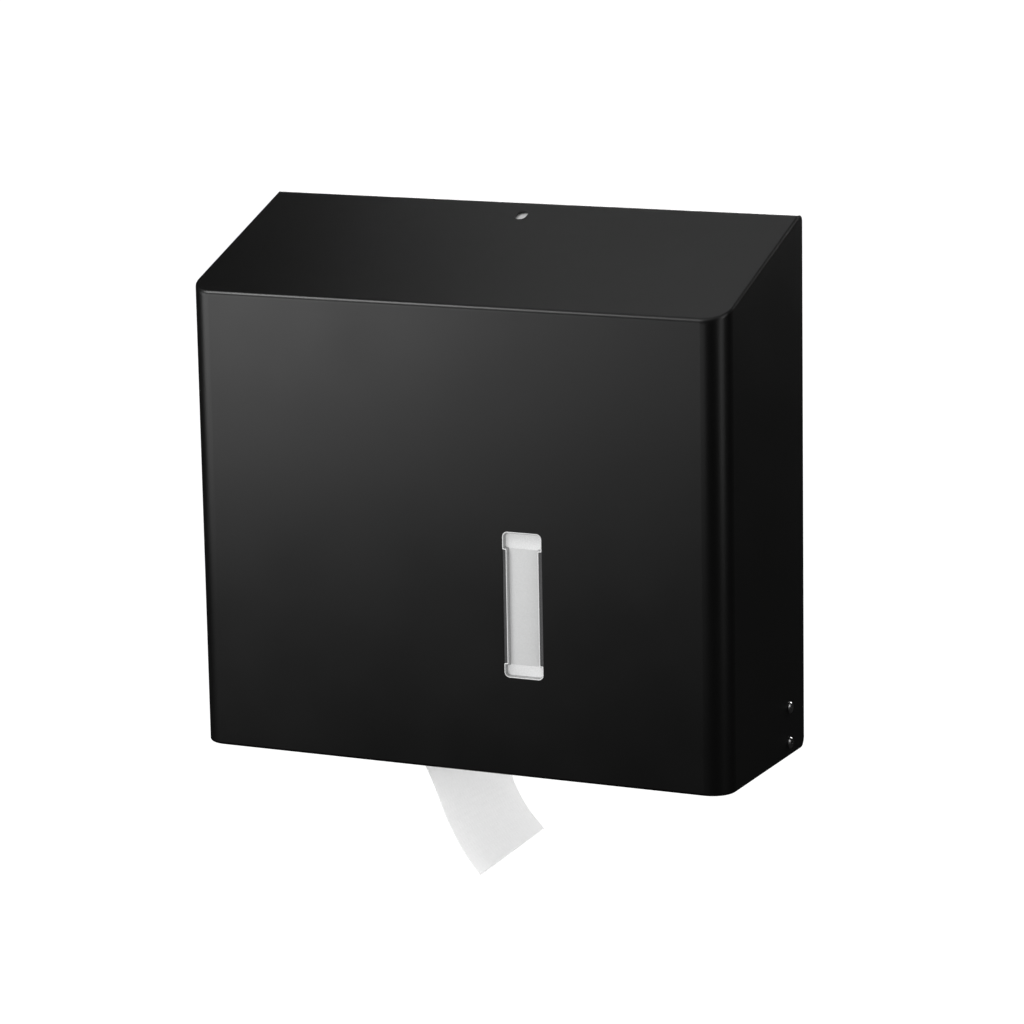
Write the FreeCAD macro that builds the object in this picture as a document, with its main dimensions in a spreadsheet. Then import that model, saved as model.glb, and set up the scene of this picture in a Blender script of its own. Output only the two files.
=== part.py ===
import FreeCAD, Part

import math
import os
import re

import Sketcher

# Wall dispenser for one jumbo roll of toilet paper, in millimetres.
# Origin: where the roll's axle meets the wall. X runs to the right, Y into the wall, Z up.
# Depths are distances from the wall, so a piece at depth d lies at y = -d.

Vector = FreeCAD.Vector
RIGHT = 1
LEFT = -1
SIDES = (("left", LEFT), ("right", RIGHT))
NEAR = 1e-3  # two places closer than this are the same

SIZES = (
    ("case_width", 298, "hood, side to side"),
    ("front_height", 241, "hood's bottom edge to the ridge"),
    ("rear_height", 280.5, "hood's bottom edge to where the slope would meet the wall"),
    ("axle_height", 123, "hood's bottom edge to the axle"),
    ("hood_sheet", 1.0, "hood's steel sheet"),
    ("corner_bend", 12.5, "outside radius of the two upright front bends"),
    ("ridge_bend", 3.0, "outside radius of the bend between front and slope"),
    ("side_bend", 1.2, "outside radius of the ground seam between slope and side"),
    ("seam_bend", 0.4, "inside radius of that seam"),
    ("lip_bend", 1.5, "outside radius of the bottom bend"),
    ("lip_depth", 7.0, "bottom return lip, front and sides"),
    ("lip_end", 52.0, "depth where the side lips stop, to clear the hinges"),
    ("heel_bend", 6.0, "rounded heel of each side, which lets the hood swing past the wall"),
    ("rear_bend", 3.5, "outside radius of the bend into the rear flange"),
    ("flange_drop", 12.0, "rear flange's height"),
    ("notch_width", 60.0, "rear flange's notch for the latch"),
    ("wall_gap", 0.5, "hood's clearance to the wall"),
    ("window_width", 22.0, "opening in the front"),
    ("window_height", 76.0, "opening in the front"),
    ("window_corner", 3.0, "opening's corner radius"),
    ("window_across", 38.7, "window's centre, to the right of the axle"),
    ("window_down", 33.6, "window's centre, below the axle"),
    ("tray_fit", 0.15, "gap between the tray and the opening"),
    ("tray_lap", 3.2, "tray's flange beyond the opening"),
    ("tray_flange", 1.2, "tray's flange, thickness"),
    ("tray_notch", 1.8, "tray's side notches, depth"),
    ("notch_run", 59.0, "tray's side notches, length"),
    ("notch_drop", 1.0, "notches' middle, below the window's middle"),
    ("tray_rim", 1.4, "width of the rim round the tray's face"),
    ("tray_sink", 0.6, "depth of the face inside the rim"),
    ("gasket_thick", 0.5, "adhesive ring between the tray and the hood"),
    ("key_width", 6.0, "key hole, across"),
    ("key_length", 8.8, "key hole, up the slope"),
    ("key_setback", 17.0, "key hole's centre, depth from the wall"),
    ("pivot_setback", 20.4, "hood's pivot, depth from the wall"),
    ("pivot_rise", 7.1, "hood's pivot, above the bottom edge"),
    ("stop_reach", 18.7, "stop pin, distance from the pivot"),
    ("swing_angle", 85.0, "hood's travel in degrees"),
    ("spare_angle", 1.5, "arc slot's spare travel at each end, in degrees"),
    ("shank_bore", 3.2, "rivets, shank diameter"),
    ("rivet_fit", 0.05, "radial gap round a fixed rivet"),
    ("pivot_fit", 0.08, "radial gap round a pivot"),
    ("slot_fit", 0.2, "gap on each side of the stop pin in its slot"),
    ("head_width", 6.0, "rivets, head diameter"),
    ("head_rise", 1.0, "rivets, head height"),
    ("mandrel_bore", 2.2, "recess in the head"),
    ("mandrel_sink", 0.9, "recess in the head, depth"),
    ("blind_width", 5.2, "rivets, inner end's diameter"),
    ("blind_length", 2.2, "rivets, inner end's length"),
    ("washer_thick", 0.8, "spacers between hood and ears"),
    ("washer_width", 8.0, "spacers, diameter"),
    ("side_play", 0.1, "axial gap beside a moving face"),
    ("ear_sheet", 1.5, "hinge brackets, thickness"),
    ("ear_top", 8.0, "ear's upper edge, above the stop pin"),
    ("ear_front", 48.0, "ear's front edge, depth"),
    ("ear_foot", 5.0, "ear's lower edge, below the pivot"),
    ("foot_width", 18.0, "bracket's flange on the back plate"),
    ("ear_round", 8.0, "radius of the ear's free corners"),
    ("plate_sheet", 1.0, "back plate, thickness"),
    ("plate_side", 3.0, "back plate's side edges, in from the hood's outer faces"),
    ("plate_lift", 2.0, "back plate's lower edge above the hood's bottom edge"),
    ("plate_gap", 1.5, "back plate's upper edge below the rear flange"),
    ("plate_round", 8.0, "back plate's corner radius"),
    ("dish_width", 90.0, "pressed dish under the axle"),
    ("dish_rise", 3.0, "pressed dish, height"),
    ("dish_wall", 5.0, "pressed dish, width of its sloping wall"),
    ("screw_across", 230.0, "wall screws, apart in X"),
    ("screw_up", 200.0, "wall screws, apart in Z"),
    ("screw_bore", 6.0, "wall screw holes"),
    ("foot_rivet_in", 9.0, "bracket rivets, in from the ear"),
    ("foot_rivet_low", 5.0, "lower bracket rivet, above the pivot"),
    ("foot_rivet_gap", 16.0, "bracket rivets, apart"),
    ("sink_width", 5.0, "flush rear end of a rivet, diameter"),
    ("sink_depth", 0.9, "flush rear end of a rivet, depth"),
    ("lever_sheet", 1.2, "latch lever, thickness"),
    ("lever_width", 30.0, "latch lever, width"),
    ("lever_gap", 0.5, "latch lever's pad below the slope"),
    ("lever_back", 7.8, "pad's rear end, up the slope from the key hole"),
    ("pad_run", 4.5, "pad's front end, down the slope from the key hole"),
    ("joggle_drop", 1.5, "step down in front of the pad"),
    ("joggle_run", 2.0, "step, length"),
    ("catch_gap", 1.0, "nose slot, ahead of the step"),
    ("catch_slot", 4.0, "nose slot, length"),
    ("slot_width", 20.0, "nose slot, width"),
    ("nose_run", 5.5, "nose bar, length"),
    ("ramp_run", 4.0, "ramp that the catch rides up on closing"),
    ("pin_back", 6.5, "lever's pin, up the slope from the key hole"),
    ("pin_drop", 5.2, "lever's pin, below the slope's inner face"),
    ("pin_bore", 3.0, "lever's pin, diameter"),
    ("pin_head", 4.8, "lever's pin, head diameter"),
    ("ear_fore", 3.6, "lever's ears, lower front corner ahead of the pin"),
    ("ear_side", 0.3, "gap between the lever and its bracket"),
    ("yoke_sheet", 1.5, "latch bracket, thickness"),
    ("yoke_low", 35.0, "latch bracket's lower edge, below where the slope would meet the wall"),
    ("yoke_high", 17.0, "latch bracket's base, upper edge, below the same point"),
    ("yoke_reach", 13.5, "latch bracket's ears, depth"),
    ("catch_sheet", 1.0, "hood catch, thickness"),
    ("catch_width", 16.0, "hood catch, width"),
    ("catch_deep", 4.3, "hood catch, height of its lip"),
    ("catch_foot", 10.8, "hood catch, length of its welded foot"),
    ("leaf_sheet", 0.4, "latch spring, thickness"),
    ("leaf_width", 12.0, "latch spring, width"),
    ("leaf_play", 0.2, "latch spring's tip below the pad"),
    ("leaf_bow", 3.6, "latch spring's foremost bend, below the lever's pin"),
    ("axle_width", 10.0, "axle, diameter"),
    ("axle_end", 49.0, "axle's front end, depth"),
    ("stem_width", 8.0, "axle's stem through the dish"),
    ("upset_width", 16.0, "axle's swaged rear end"),
    ("upset_thick", 1.5, "axle's swaged rear end, thickness"),
    ("collar_width", 27.0, "axle's collar"),
    ("collar_thick", 1.5, "axle's collar, thickness"),
    ("thrust_width", 24.0, "thrust washer"),
    ("thrust_thick", 0.7, "thrust washer, thickness"),
    ("hub_flange", 75.0, "hub's rear flange"),
    ("hub_wall", 2.4, "hub's walls"),
    ("hub_width", 59.4, "hub's drum"),
    ("hub_length", 52.0, "hub's drum, length"),
    ("boss_width", 17.0, "hub's boss"),
    ("boss_length", 40.3, "hub's boss, length"),
    ("rib_thick", 1.6, "hub's ribs"),
    ("rib_count", 6, "hub's ribs, number"),
    ("clip_thick", 0.8, "axle clip"),
    ("clip_width", 18.0, "axle clip, diameter"),
    ("clip_bite", 0.8, "axle clip's groove, depth"),
    ("clip_play", 0.1, "gap on each side of the axle clip"),
    ("clip_mouth", 5.0, "axle clip's opening"),
    ("roll_gap", 0.2, "roll's rear face, ahead of the hub's flange"),
    ("front_room", 6.3, "roll's front face to the hood's inner face"),
    ("paper_width", 92.0, "paper, width"),
    ("roll_width", 190.0, "paper roll, diameter"),
    ("core_bore", 60.0, "cardboard core, inside"),
    ("core_wall", 1.5, "cardboard core, wall"),
    ("core_fit", 0.05, "radial gap between core and paper"),
    ("tail_thick", 0.4, "hanging paper, as a thin solid"),
    ("tail_clear", 0.3, "hanging paper's upper end, off the roll"),
    ("tail_inset", 1.0, "hanging paper, in from the roll's two faces"),
    ("tail_drop", 42.4, "hanging paper's curled lower end, length"),
    ("front_leave_angle", 48.3, "front edge leaves the roll, degrees off the vertical"),
    ("front_ease_angle", 28.1, "front edge's turn down above its curl, degrees"),
    ("front_fall", 89.6, "front edge's length above its curl"),
    ("front_curl_angle", 21.6, "front edge's curl at its lower end, degrees"),
    ("rear_leave_angle", 50.7, "rear edge leaves the roll, degrees off the vertical"),
    ("rear_ease_angle", 39.7, "rear edge's turn down above its curl, degrees"),
    ("rear_fall", 84.4, "rear edge's length above its curl"),
    ("rear_curl_angle", 38.7, "rear edge's curl at its lower end, degrees"),
    ("cut_spare", 1.0, "how far a cutting shape runs past what it cuts"),
)

# Places that several pieces share, as expressions on the sheet.
DISH_FACE = "(plate_sheet + dish_rise)"
COLLAR_FACE = f"({DISH_FACE} + collar_thick)"
HUB_REAR = f"({COLLAR_FACE} + thrust_thick + side_play)"
ROLL_REAR = f"({HUB_REAR} + hub_wall / 2 + roll_gap)"
BOSS_FRONT = f"({HUB_REAR} + boss_length)"
DEPTH = f"({ROLL_REAR} + paper_width + front_room + hood_sheet)"
FLOOR = "(-axle_height)"
REAR_TOP = "(rear_height - axle_height)"
RISE = f"((rear_height - front_height) / {DEPTH})"
SLANT = f"atan({RISE})"
HALF = "(case_width / 2)"
PLATE_HALF = f"({HALF} - plate_side)"
PLATE_TOP = f"({REAR_TOP} - flange_drop - plate_gap)"
PIVOT_UP = f"({FLOOR} + pivot_rise)"
STOP_UP = f"({PIVOT_UP} + stop_reach)"
EAR_OUT = f"({HALF} - hood_sheet - washer_thick - 2 * side_play)"
EAR_IN = f"({EAR_OUT} - ear_sheet)"
LATCH_FOOT = f"({REAR_TOP} - yoke_low)"
SLOT_START = "(pad_run + joggle_run + catch_gap)"
NOSE_START = f"({SLOT_START} + catch_slot)"
NOSE_END = f"({NOSE_START} + nose_run)"
NOSE_DROP = "(lever_gap + joggle_drop)"

doc = FreeCAD.newDocument("Dispenser")
sheet = doc.addObject("Spreadsheet::Sheet", "Sizes")
for row, (alias, number, note) in enumerate(SIZES, 1):
    sheet.set(f"A{row}", str(number))
    sheet.setAlias(f"A{row}", alias)
    sheet.set(f"B{row}", note)
doc.recompute()

nodes = []


def bound(text):
    """The expression with each size's name pointed at the sheet."""
    return re.sub(r"\b[a-z]+(?:_[a-z]+)+\b", r"Sizes.\g<0>", text)


def bind(thing, path, text):
    thing.setExpression(path, bound(text))


def number_of(text):
    """The number that an expression on the sheet gives."""
    result = sheet.evalExpression(bound(text))
    return float(getattr(result, "Value", result))


def keep(thing, label):
    """Names a finished sub-part."""
    thing.Label = label
    nodes.append(thing)
    return thing


def new_body(name):
    return doc.addObject("PartDesign::Body", name)


def tilt_to_slope(body):
    """Puts a body's origin under the key hole, its Y up the slope and its Z out of it."""
    body.Placement = FreeCAD.Placement(Vector(0, 0, 0), FreeCAD.Rotation(Vector(1, 0, 0), number_of(SLANT)))
    bind(body, "Placement.Rotation.Angle", SLANT)
    bind(body, "Placement.Base.y", f"-key_setback + hood_sheet * sin({SLANT})")
    bind(body, "Placement.Base.z", f"{REAR_TOP} - {RISE} * key_setback - hood_sheet * cos({SLANT})")


def sketch_on(body, role):
    sketch = body.newObject("Sketcher::SketchObject", f"{body.Name}_outline")
    plane = [item for item in body.Origin.OriginFeatures if item.Role == role][0]
    sketch.AttachmentSupport = [(plane, "")]
    sketch.MapMode = "FlatFace"
    return sketch


def place_point(sketch, geometry, position, point):
    """Ties a point of a sketch to the origin by two distances on the sheet."""
    for axis, text in zip("XY", point):
        distance = Sketcher.Constraint(f"Distance{axis}", -1, 1, geometry, position, number_of(text))
        index = sketch.addConstraint(distance)
        sketch.setExpression(f"Constraints[{index}]", bound(text))


def polygon(sketch, points):
    corners = [Vector(number_of(across), number_of(up), 0) for across, up in points]
    first = sketch.GeometryCount
    count = len(points)
    for index in range(count):
        sketch.addGeometry(Part.LineSegment(corners[index], corners[(index + 1) % count]))
    for index in range(count):
        following = first + (index + 1) % count
        sketch.addConstraint(Sketcher.Constraint("Coincident", first + index, 2, following, 1))
    for index, point in enumerate(points):
        place_point(sketch, first + index, 1, point)


def rectangle(sketch, low, high):
    polygon(sketch, [(low[0], low[1]), (high[0], low[1]), (high[0], high[1]), (low[0], high[1])])


def circle(sketch, centre, radius):
    middle = Vector(number_of(centre[0]), number_of(centre[1]), 0)
    geometry = sketch.addGeometry(Part.Circle(middle, Vector(0, 0, 1), number_of(radius)))
    place_point(sketch, geometry, 3, centre)
    index = sketch.addConstraint(Sketcher.Constraint("Radius", geometry, number_of(radius)))
    sketch.setExpression(f"Constraints[{index}]", bound(radius))


def obround(sketch, half_run, radius):
    """A slot with round ends along the sketch's Y, centred on the origin."""
    run = number_of(half_run)
    size = number_of(radius)
    normal = Vector(0, 0, 1)
    top = sketch.addGeometry(Part.ArcOfCircle(Part.Circle(Vector(0, run, 0), normal, size), 0, math.pi))
    low = Part.ArcOfCircle(Part.Circle(Vector(0, -run, 0), normal, size), math.pi, 2 * math.pi)
    bottom = sketch.addGeometry(low)
    left = sketch.addGeometry(Part.LineSegment(Vector(-size, run, 0), Vector(-size, -run, 0)))
    right = sketch.addGeometry(Part.LineSegment(Vector(size, -run, 0), Vector(size, run, 0)))
    chain = (top, left, bottom, right, top)
    for piece, following in zip(chain, chain[1:]):
        sketch.addConstraint(Sketcher.Constraint("Tangent", piece, 2, following, 1))
    place_point(sketch, top, 3, ("0", half_run))
    place_point(sketch, bottom, 3, ("0", f"-({half_run})"))
    index = sketch.addConstraint(Sketcher.Constraint("Radius", top, size))
    sketch.setExpression(f"Constraints[{index}]", bound(radius))


def pad(body, sketch, start, length):
    """Pads a sketch from a distance along its plane's normal."""
    bind(sketch, "AttachmentOffset.Base.z", start)
    feature = body.newObject("PartDesign::Pad", f"{body.Name}_pad")
    feature.Profile = sketch
    bind(feature, "Length", length)
    return feature


def pad_across(body, sketch, length):
    """Pads a sketch the same way to both sides of its plane."""
    feature = body.newObject("PartDesign::Pad", f"{body.Name}_pad")
    feature.Profile = sketch
    feature.SideType = "Symmetric"
    bind(feature, "Length", length)
    return feature


def pocket_across(body, sketch, length):
    """Cuts a sketch the same way to both sides of its plane."""
    feature = body.newObject("PartDesign::Pocket", f"{body.Name}_pocket")
    feature.Profile = sketch
    feature.SideType = "Symmetric"
    bind(feature, "Length", length)
    doc.recompute()
    if feature.Shape.Volume >= feature.BaseFeature.Shape.Volume:
        raise RuntimeError(f"{feature.Name} cuts nothing")
    return feature


def turned(body, sketch, kind="PartDesign::Revolution"):
    """Turns a sketch through a full circle about its own vertical axis."""
    feature = body.newObject(kind, f"{body.Name}_turned")
    feature.Profile = sketch
    feature.ReferenceAxis = (sketch, ["V_Axis"])
    feature.Angle = 360
    return feature


def straight(edge, axis):
    """Whether an edge is straight and runs along one axis."""
    box = edge.BoundBox
    lengths = {"X": box.XLength, "Y": box.YLength, "Z": box.ZLength}
    others = sum(length for name, length in lengths.items() if name != axis)
    return lengths[axis] > NEAR and others < NEAR


def beyond(edge, **limits):
    """Whether an edge's middle lies past a limit on each named axis."""
    middle = edge.CenterOfMass
    return all(getattr(middle, axis) > limit for axis, limit in limits.items())


def over(edge, corner):
    """Whether an edge along Y stands at a corner's X and Z."""
    middle = edge.CenterOfMass
    return abs(middle.x - corner.x) < NEAR and abs(middle.z - corner.z) < NEAR


def round_edges(body, radius, test):
    """Rounds the edges of a body's last feature that pass a test."""
    doc.recompute()
    base = body.Tip
    picked = [f"Edge{index}" for index, edge in enumerate(base.Shape.Edges, 1) if test(edge)]
    feature = body.newObject("PartDesign::Fillet", f"{body.Name}_round")
    feature.Base = (base, picked)
    bind(feature, "Radius", radius)
    return feature


def cylinder(name, radius, length, x, y, z, axis):
    """A cylinder that starts at a point and runs along an axis."""
    solid = doc.addObject("Part::Cylinder", name)
    turn = {"X": (Vector(0, 1, 0), 90), "Y": (Vector(1, 0, 0), -90), "Z": (Vector(0, 0, 1), 0)}[axis]
    solid.Placement = FreeCAD.Placement(Vector(0, 0, 0), FreeCAD.Rotation(*turn))
    bind(solid, "Radius", radius)
    bind(solid, "Height", length)
    for direction, text in zip("xyz", (x, y, z)):
        bind(solid, f"Placement.Base.{direction}", text)
    return solid


def box(name, low, high):
    solid = doc.addObject("Part::Box", name)
    for side, direction, start, end in zip(("Length", "Width", "Height"), "xyz", low, high):
        bind(solid, f"Placement.Base.{direction}", start)
        bind(solid, side, f"({end}) - ({start})")
    return solid


def joined(name, pieces):
    union = doc.addObject("Part::MultiFuse", name)
    union.Shapes = pieces
    return union


def cut(name, base, tool):
    result = doc.addObject("Part::Cut", name)
    result.Base = base
    result.Tool = tool
    return result


def common(name, first, second):
    result = doc.addObject("Part::Common", name)
    result.Base = first
    result.Tool = second
    return result


def ring(name, inner, outer, start, length):
    """A plain ring about the axle, from a depth towards the room."""
    body = new_body(name)
    sketch = sketch_on(body, "XZ_Plane")
    circle(sketch, ("0", "0"), outer)
    circle(sketch, ("0", "0"), inner)
    pad(body, sketch, start, length)
    return body


# The hood: a block with bent edges, less a smaller block, less its openings.

def slope_at(depth, below):
    """Height of the slope at a depth, less a distance square to its face."""
    return f"({REAR_TOP} - {RISE} * ({depth}) - ({below}) / cos({SLANT}))"


def hood_block(name, inset, ridge_radius, side_radius, foot_radius):
    """The hood's outer or inner form, with its front, ridge, side and foot bends."""
    body = new_body(name)
    sketch = sketch_on(body, "YZ_Plane")
    front = f"({DEPTH} - {inset})"
    rear = f"(wall_gap + {inset})"
    polygon(sketch, [
        (f"-{front}", f"{FLOOR} + {inset}"),
        (f"-{rear}", f"{FLOOR} + {inset}"),
        (f"-{rear}", slope_at(rear, inset)),
        (f"-{front}", slope_at(front, inset)),
    ])
    pad_across(body, sketch, f"case_width - 2 * {inset}")
    round_edges(body, f"corner_bend - {inset}",
                lambda edge: straight(edge, "Z") and edge.CenterOfMass.y < -number_of(DEPTH) / 2)
    doc.recompute()
    return bend_edges(f"{name}_bent", body, rear, ridge_radius, side_radius, foot_radius)


def bend_edges(name, body, rear, ridge_radius, side_radius, foot_radius):
    """Rounds the foot and the top, which is wide at the ridge, narrow at the sides and eases between."""
    ridge_size = number_of(ridge_radius)
    side_size = number_of(side_radius)
    foot_size = number_of(foot_radius)
    rear_face = -number_of(rear)
    floor = body.Shape.BoundBox.ZMin
    radii = []
    for index, edge in enumerate(body.Shape.Edges, 1):
        bounds = edge.BoundBox
        if abs(bounds.YMin - rear_face) < NEAR:
            continue
        if bounds.ZMax < floor + NEAR:
            radii.append((index, foot_size, foot_size))
        elif straight(edge, "X"):
            radii.append((index, ridge_size, ridge_size))
        elif bounds.YMax > rear_face - NEAR and bounds.XLength < NEAR:
            radii.append((index, side_size, side_size))
    bent = doc.addObject("Part::Fillet", name)
    bent.Base = body
    bent.Edges = radii
    return bent


def side_outline(name, inset, top_radius):
    """The hood's outline from the side, with its rear bend."""
    body = new_body(name)
    sketch = sketch_on(body, "YZ_Plane")
    far = f"({DEPTH} + cut_spare)"
    rear = f"(wall_gap + {inset})"
    polygon(sketch, [
        (f"-{far}", f"{FLOOR} + {inset}"),
        (f"-{rear}", f"{FLOOR} + {inset}"),
        (f"-{rear}", slope_at(rear, inset)),
        (f"-{far}", slope_at(far, inset)),
    ])
    pad_across(body, sketch, "case_width + 2 * cut_spare")
    middle = number_of(f"({FLOOR} + {REAR_TOP}) / 2")
    behind = -number_of(rear) - NEAR
    round_edges(body, top_radius, lambda edge: straight(edge, "X") and beyond(edge, y=behind, z=middle))
    return body


def heeled(body):
    """Rounds the heel of the hood's sides."""
    middle = number_of(FLOOR) / 2
    front = -number_of(DEPTH)
    round_edges(body, "heel_bend",
                lambda edge: straight(edge, "X") and beyond(edge, y=front) and not beyond(edge, z=middle))
    return body


def mouth_cutter():
    """The open bottom, which leaves a return lip along the front and the sides."""
    body = new_body("mouth_cutter")
    sketch = sketch_on(body, "XY_Plane")
    narrow = f"({HALF} - lip_depth)"
    wide = f"({HALF} - hood_sheet)"
    polygon(sketch, [
        (f"-{narrow}", f"-({DEPTH} - lip_depth)"),
        (narrow, f"-({DEPTH} - lip_depth)"),
        (narrow, "-lip_end"),
        (wide, "-lip_end"),
        (wide, "cut_spare"),
        (f"-{wide}", "cut_spare"),
        (f"-{wide}", "-lip_end"),
        (f"-{narrow}", "-lip_end"),
    ])
    pad(body, sketch, f"{FLOOR} - cut_spare", "lip_bend + 2 * cut_spare")
    behind = -number_of("lip_end") - NEAR
    round_edges(body, "corner_bend - lip_depth",
                lambda edge: straight(edge, "Z") and not beyond(edge, y=behind))
    return body


def window_cutter():
    body = new_body("window_cutter")
    sketch = sketch_on(body, "XZ_Plane")
    rectangle(sketch,
              ("window_across - window_width / 2", "-window_down - window_height / 2"),
              ("window_across + window_width / 2", "-window_down + window_height / 2"))
    pad(body, sketch, f"{DEPTH} - hood_sheet - cut_spare", "hood_sheet + 2 * cut_spare")
    round_edges(body, "window_corner", lambda edge: straight(edge, "Y"))
    return body


def key_cutter():
    body = new_body("key_cutter")
    tilt_to_slope(body)
    sketch = sketch_on(body, "XY_Plane")
    obround(sketch, "(key_length - key_width) / 2", "key_width / 2")
    pad(body, sketch, "-cut_spare", "hood_sheet + 2 * cut_spare")
    return body


def hood_shell():
    outer = common("hood_outside",
                   hood_block("outer_block", "0", "ridge_bend", "side_bend", "lip_bend"),
                   heeled(side_outline("outer_outline", "0", "rear_bend")))
    inner = common("hood_inside",
                   hood_block("inner_block", "hood_sheet", "ridge_bend - hood_sheet", "seam_bend",
                              "lip_bend - hood_sheet"),
                   side_outline("inner_outline", "hood_sheet", "rear_bend - hood_sheet"))
    wide = f"({HALF} - hood_sheet)"
    rear_opening = box("rear_opening",
                       (f"-{wide}", "-(wall_gap + hood_sheet + cut_spare)", f"{FLOOR} - cut_spare"),
                       (wide, "cut_spare", f"{REAR_TOP} - flange_drop"))
    notch_top = f"{slope_at('wall_gap', '0')} - rear_bend - cut_spare / 2"
    flange_notch = box("flange_notch",
                       ("-notch_width / 2", "-(wall_gap + hood_sheet + cut_spare)",
                        f"{REAR_TOP} - flange_drop - cut_spare"),
                       ("notch_width / 2", "cut_spare", notch_top))
    bore = "shank_bore / 2 + rivet_fit"
    through = "case_width + 2 * cut_spare"
    start = f"-({HALF} + cut_spare)"
    pivot_bore = cylinder("pivot_bore", bore, through, start, "-pivot_setback", PIVOT_UP, "X")
    stop_bore = cylinder("stop_bore", bore, through, start, "-pivot_setback", STOP_UP, "X")
    openings = joined("hood_openings", [
        inner, rear_opening, flange_notch, pivot_bore, stop_bore,
        mouth_cutter(), window_cutter(), key_cutter(),
    ])
    return keep(cut("hood_cut", outer, openings), "hood_shell")


def hood_catch():
    """The lip that the latch holds, with the foot that is welded under the slope."""
    body = new_body("catch")
    tilt_to_slope(body)
    sketch = sketch_on(body, "YZ_Plane")
    rear = f"({SLOT_START} + (catch_slot - catch_sheet) / 2)"
    polygon(sketch, [
        (f"-{rear}", "0"),
        (f"-{rear}", "-catch_deep"),
        (f"-({rear} + catch_sheet)", "-catch_deep"),
        (f"-({rear} + catch_sheet)", "-catch_sheet"),
        (f"-({rear} + catch_foot)", "-catch_sheet"),
        (f"-({rear} + catch_foot)", "0"),
    ])
    pad_across(body, sketch, "catch_width")
    return keep(body, "hood_catch")


# The window's tray and its adhesive ring.

def tray_points(inset, notch):
    """Outline of the tray's raised face, narrower between its two ends."""
    half_wide = f"(window_width / 2 - tray_fit - {inset})"
    half_slim = f"({half_wide} - {notch})"
    half_tall = f"(window_height / 2 - tray_fit - {inset})"
    turn_up = f"(notch_run / 2 - notch_drop + {inset})"
    turn_down = f"(-notch_run / 2 - notch_drop - {inset})"
    right = [(half_wide, f"-{half_tall}"), (half_wide, turn_down), (half_slim, turn_down),
             (half_slim, turn_up), (half_wide, turn_up), (half_wide, half_tall)]
    left = [(f"-{across}", up) for across, up in reversed(right)]
    middle = ("window_across", "-window_down")
    return [(f"{middle[0]} + {across}", f"{middle[1]} + {up}") for across, up in right + left]


def window_insert():
    body = new_body("tray")
    flange = sketch_on(body, "XZ_Plane")
    rectangle(flange,
              ("window_across - window_width / 2 - tray_lap", "-window_down - window_height / 2 - tray_lap"),
              ("window_across + window_width / 2 + tray_lap", "-window_down + window_height / 2 + tray_lap"))
    flange_rear = f"{DEPTH} - hood_sheet - gasket_thick - tray_flange"
    pad(body, flange, flange_rear, "tray_flange")
    round_edges(body, "window_corner", lambda edge: straight(edge, "Y"))
    face = sketch_on(body, "XZ_Plane")
    polygon(face, tray_points("0", "tray_notch"))
    pad(body, face, flange_rear, "tray_flange + gasket_thick + hood_sheet")
    face_corners = [Vector(number_of(across), 0, number_of(up)) for across, up in
                    (tray_points("0", "tray_notch")[index] for index in (0, 5, 6, 11))]
    round_edges(body, "window_corner - tray_fit",
                lambda edge: straight(edge, "Y") and any(over(edge, corner) for corner in face_corners))
    basin = sketch_on(body, "XZ_Plane")
    polygon(basin, tray_points("tray_rim", "tray_notch"))
    bind(basin, "AttachmentOffset.Base.z", DEPTH)
    pocket_across(body, basin, "2 * tray_sink")
    return keep(body, "window_insert")


def window_gasket():
    body = new_body("gasket")
    sketch = sketch_on(body, "XZ_Plane")
    rectangle(sketch,
              ("window_across - window_width / 2 - tray_lap", "-window_down - window_height / 2 - tray_lap"),
              ("window_across + window_width / 2 + tray_lap", "-window_down + window_height / 2 + tray_lap"))
    polygon(sketch, tray_points("(-tray_fit / 2)", "tray_notch"))
    pad(body, sketch, f"{DEPTH} - hood_sheet - gasket_thick", "gasket_thick")
    return keep(body, "window_gasket")


# The four side rivets with their spacers, which belong to the hood.

def side_rivet(label, side, height):
    """A blind rivet through the hood's side and the bracket's ear."""
    body = new_body(f"{label}_body")
    body.Placement = FreeCAD.Placement(Vector(0, 0, 0), FreeCAD.Rotation(Vector(0, 0, 1), -90 * side))
    bind(body, "Placement.Base.x", f"{side} * {HALF}")
    bind(body, "Placement.Base.y", "-pivot_setback")
    bind(body, "Placement.Base.z", height)
    sketch = sketch_on(body, "XY_Plane")
    reach = f"({HALF} - {EAR_IN} + side_play)"
    polygon(sketch, [
        ("0", "head_rise - mandrel_sink"),
        ("mandrel_bore / 2", "head_rise - mandrel_sink"),
        ("mandrel_bore / 2", "head_rise"),
        ("head_width / 2 - head_rise / 2", "head_rise"),
        ("head_width / 2", "head_rise / 3"),
        ("head_width / 2", "0"),
        ("shank_bore / 2", "0"),
        ("shank_bore / 2", f"-{reach}"),
        ("blind_width / 2", f"-{reach}"),
        ("blind_width / 2", f"-({reach} + blind_length / 2)"),
        ("shank_bore / 2", f"-({reach} + blind_length)"),
        ("0", f"-({reach} + blind_length)"),
    ])
    turned(body, sketch)
    return keep(body, label)


def side_washer(label, side, height):
    body = new_body(f"{label}_body")
    bind(body, "Placement.Base.y", "-pivot_setback")
    bind(body, "Placement.Base.z", height)
    sketch = sketch_on(body, "YZ_Plane")
    circle(sketch, ("0", "0"), "washer_width / 2")
    circle(sketch, ("0", "0"), "shank_bore / 2 + rivet_fit")
    inner = f"({EAR_OUT} + side_play)"
    outer = f"({inner} + washer_thick)"
    pad(body, sketch, inner if side == RIGHT else f"-{outer}", "washer_thick")
    return keep(body, label)


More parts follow.
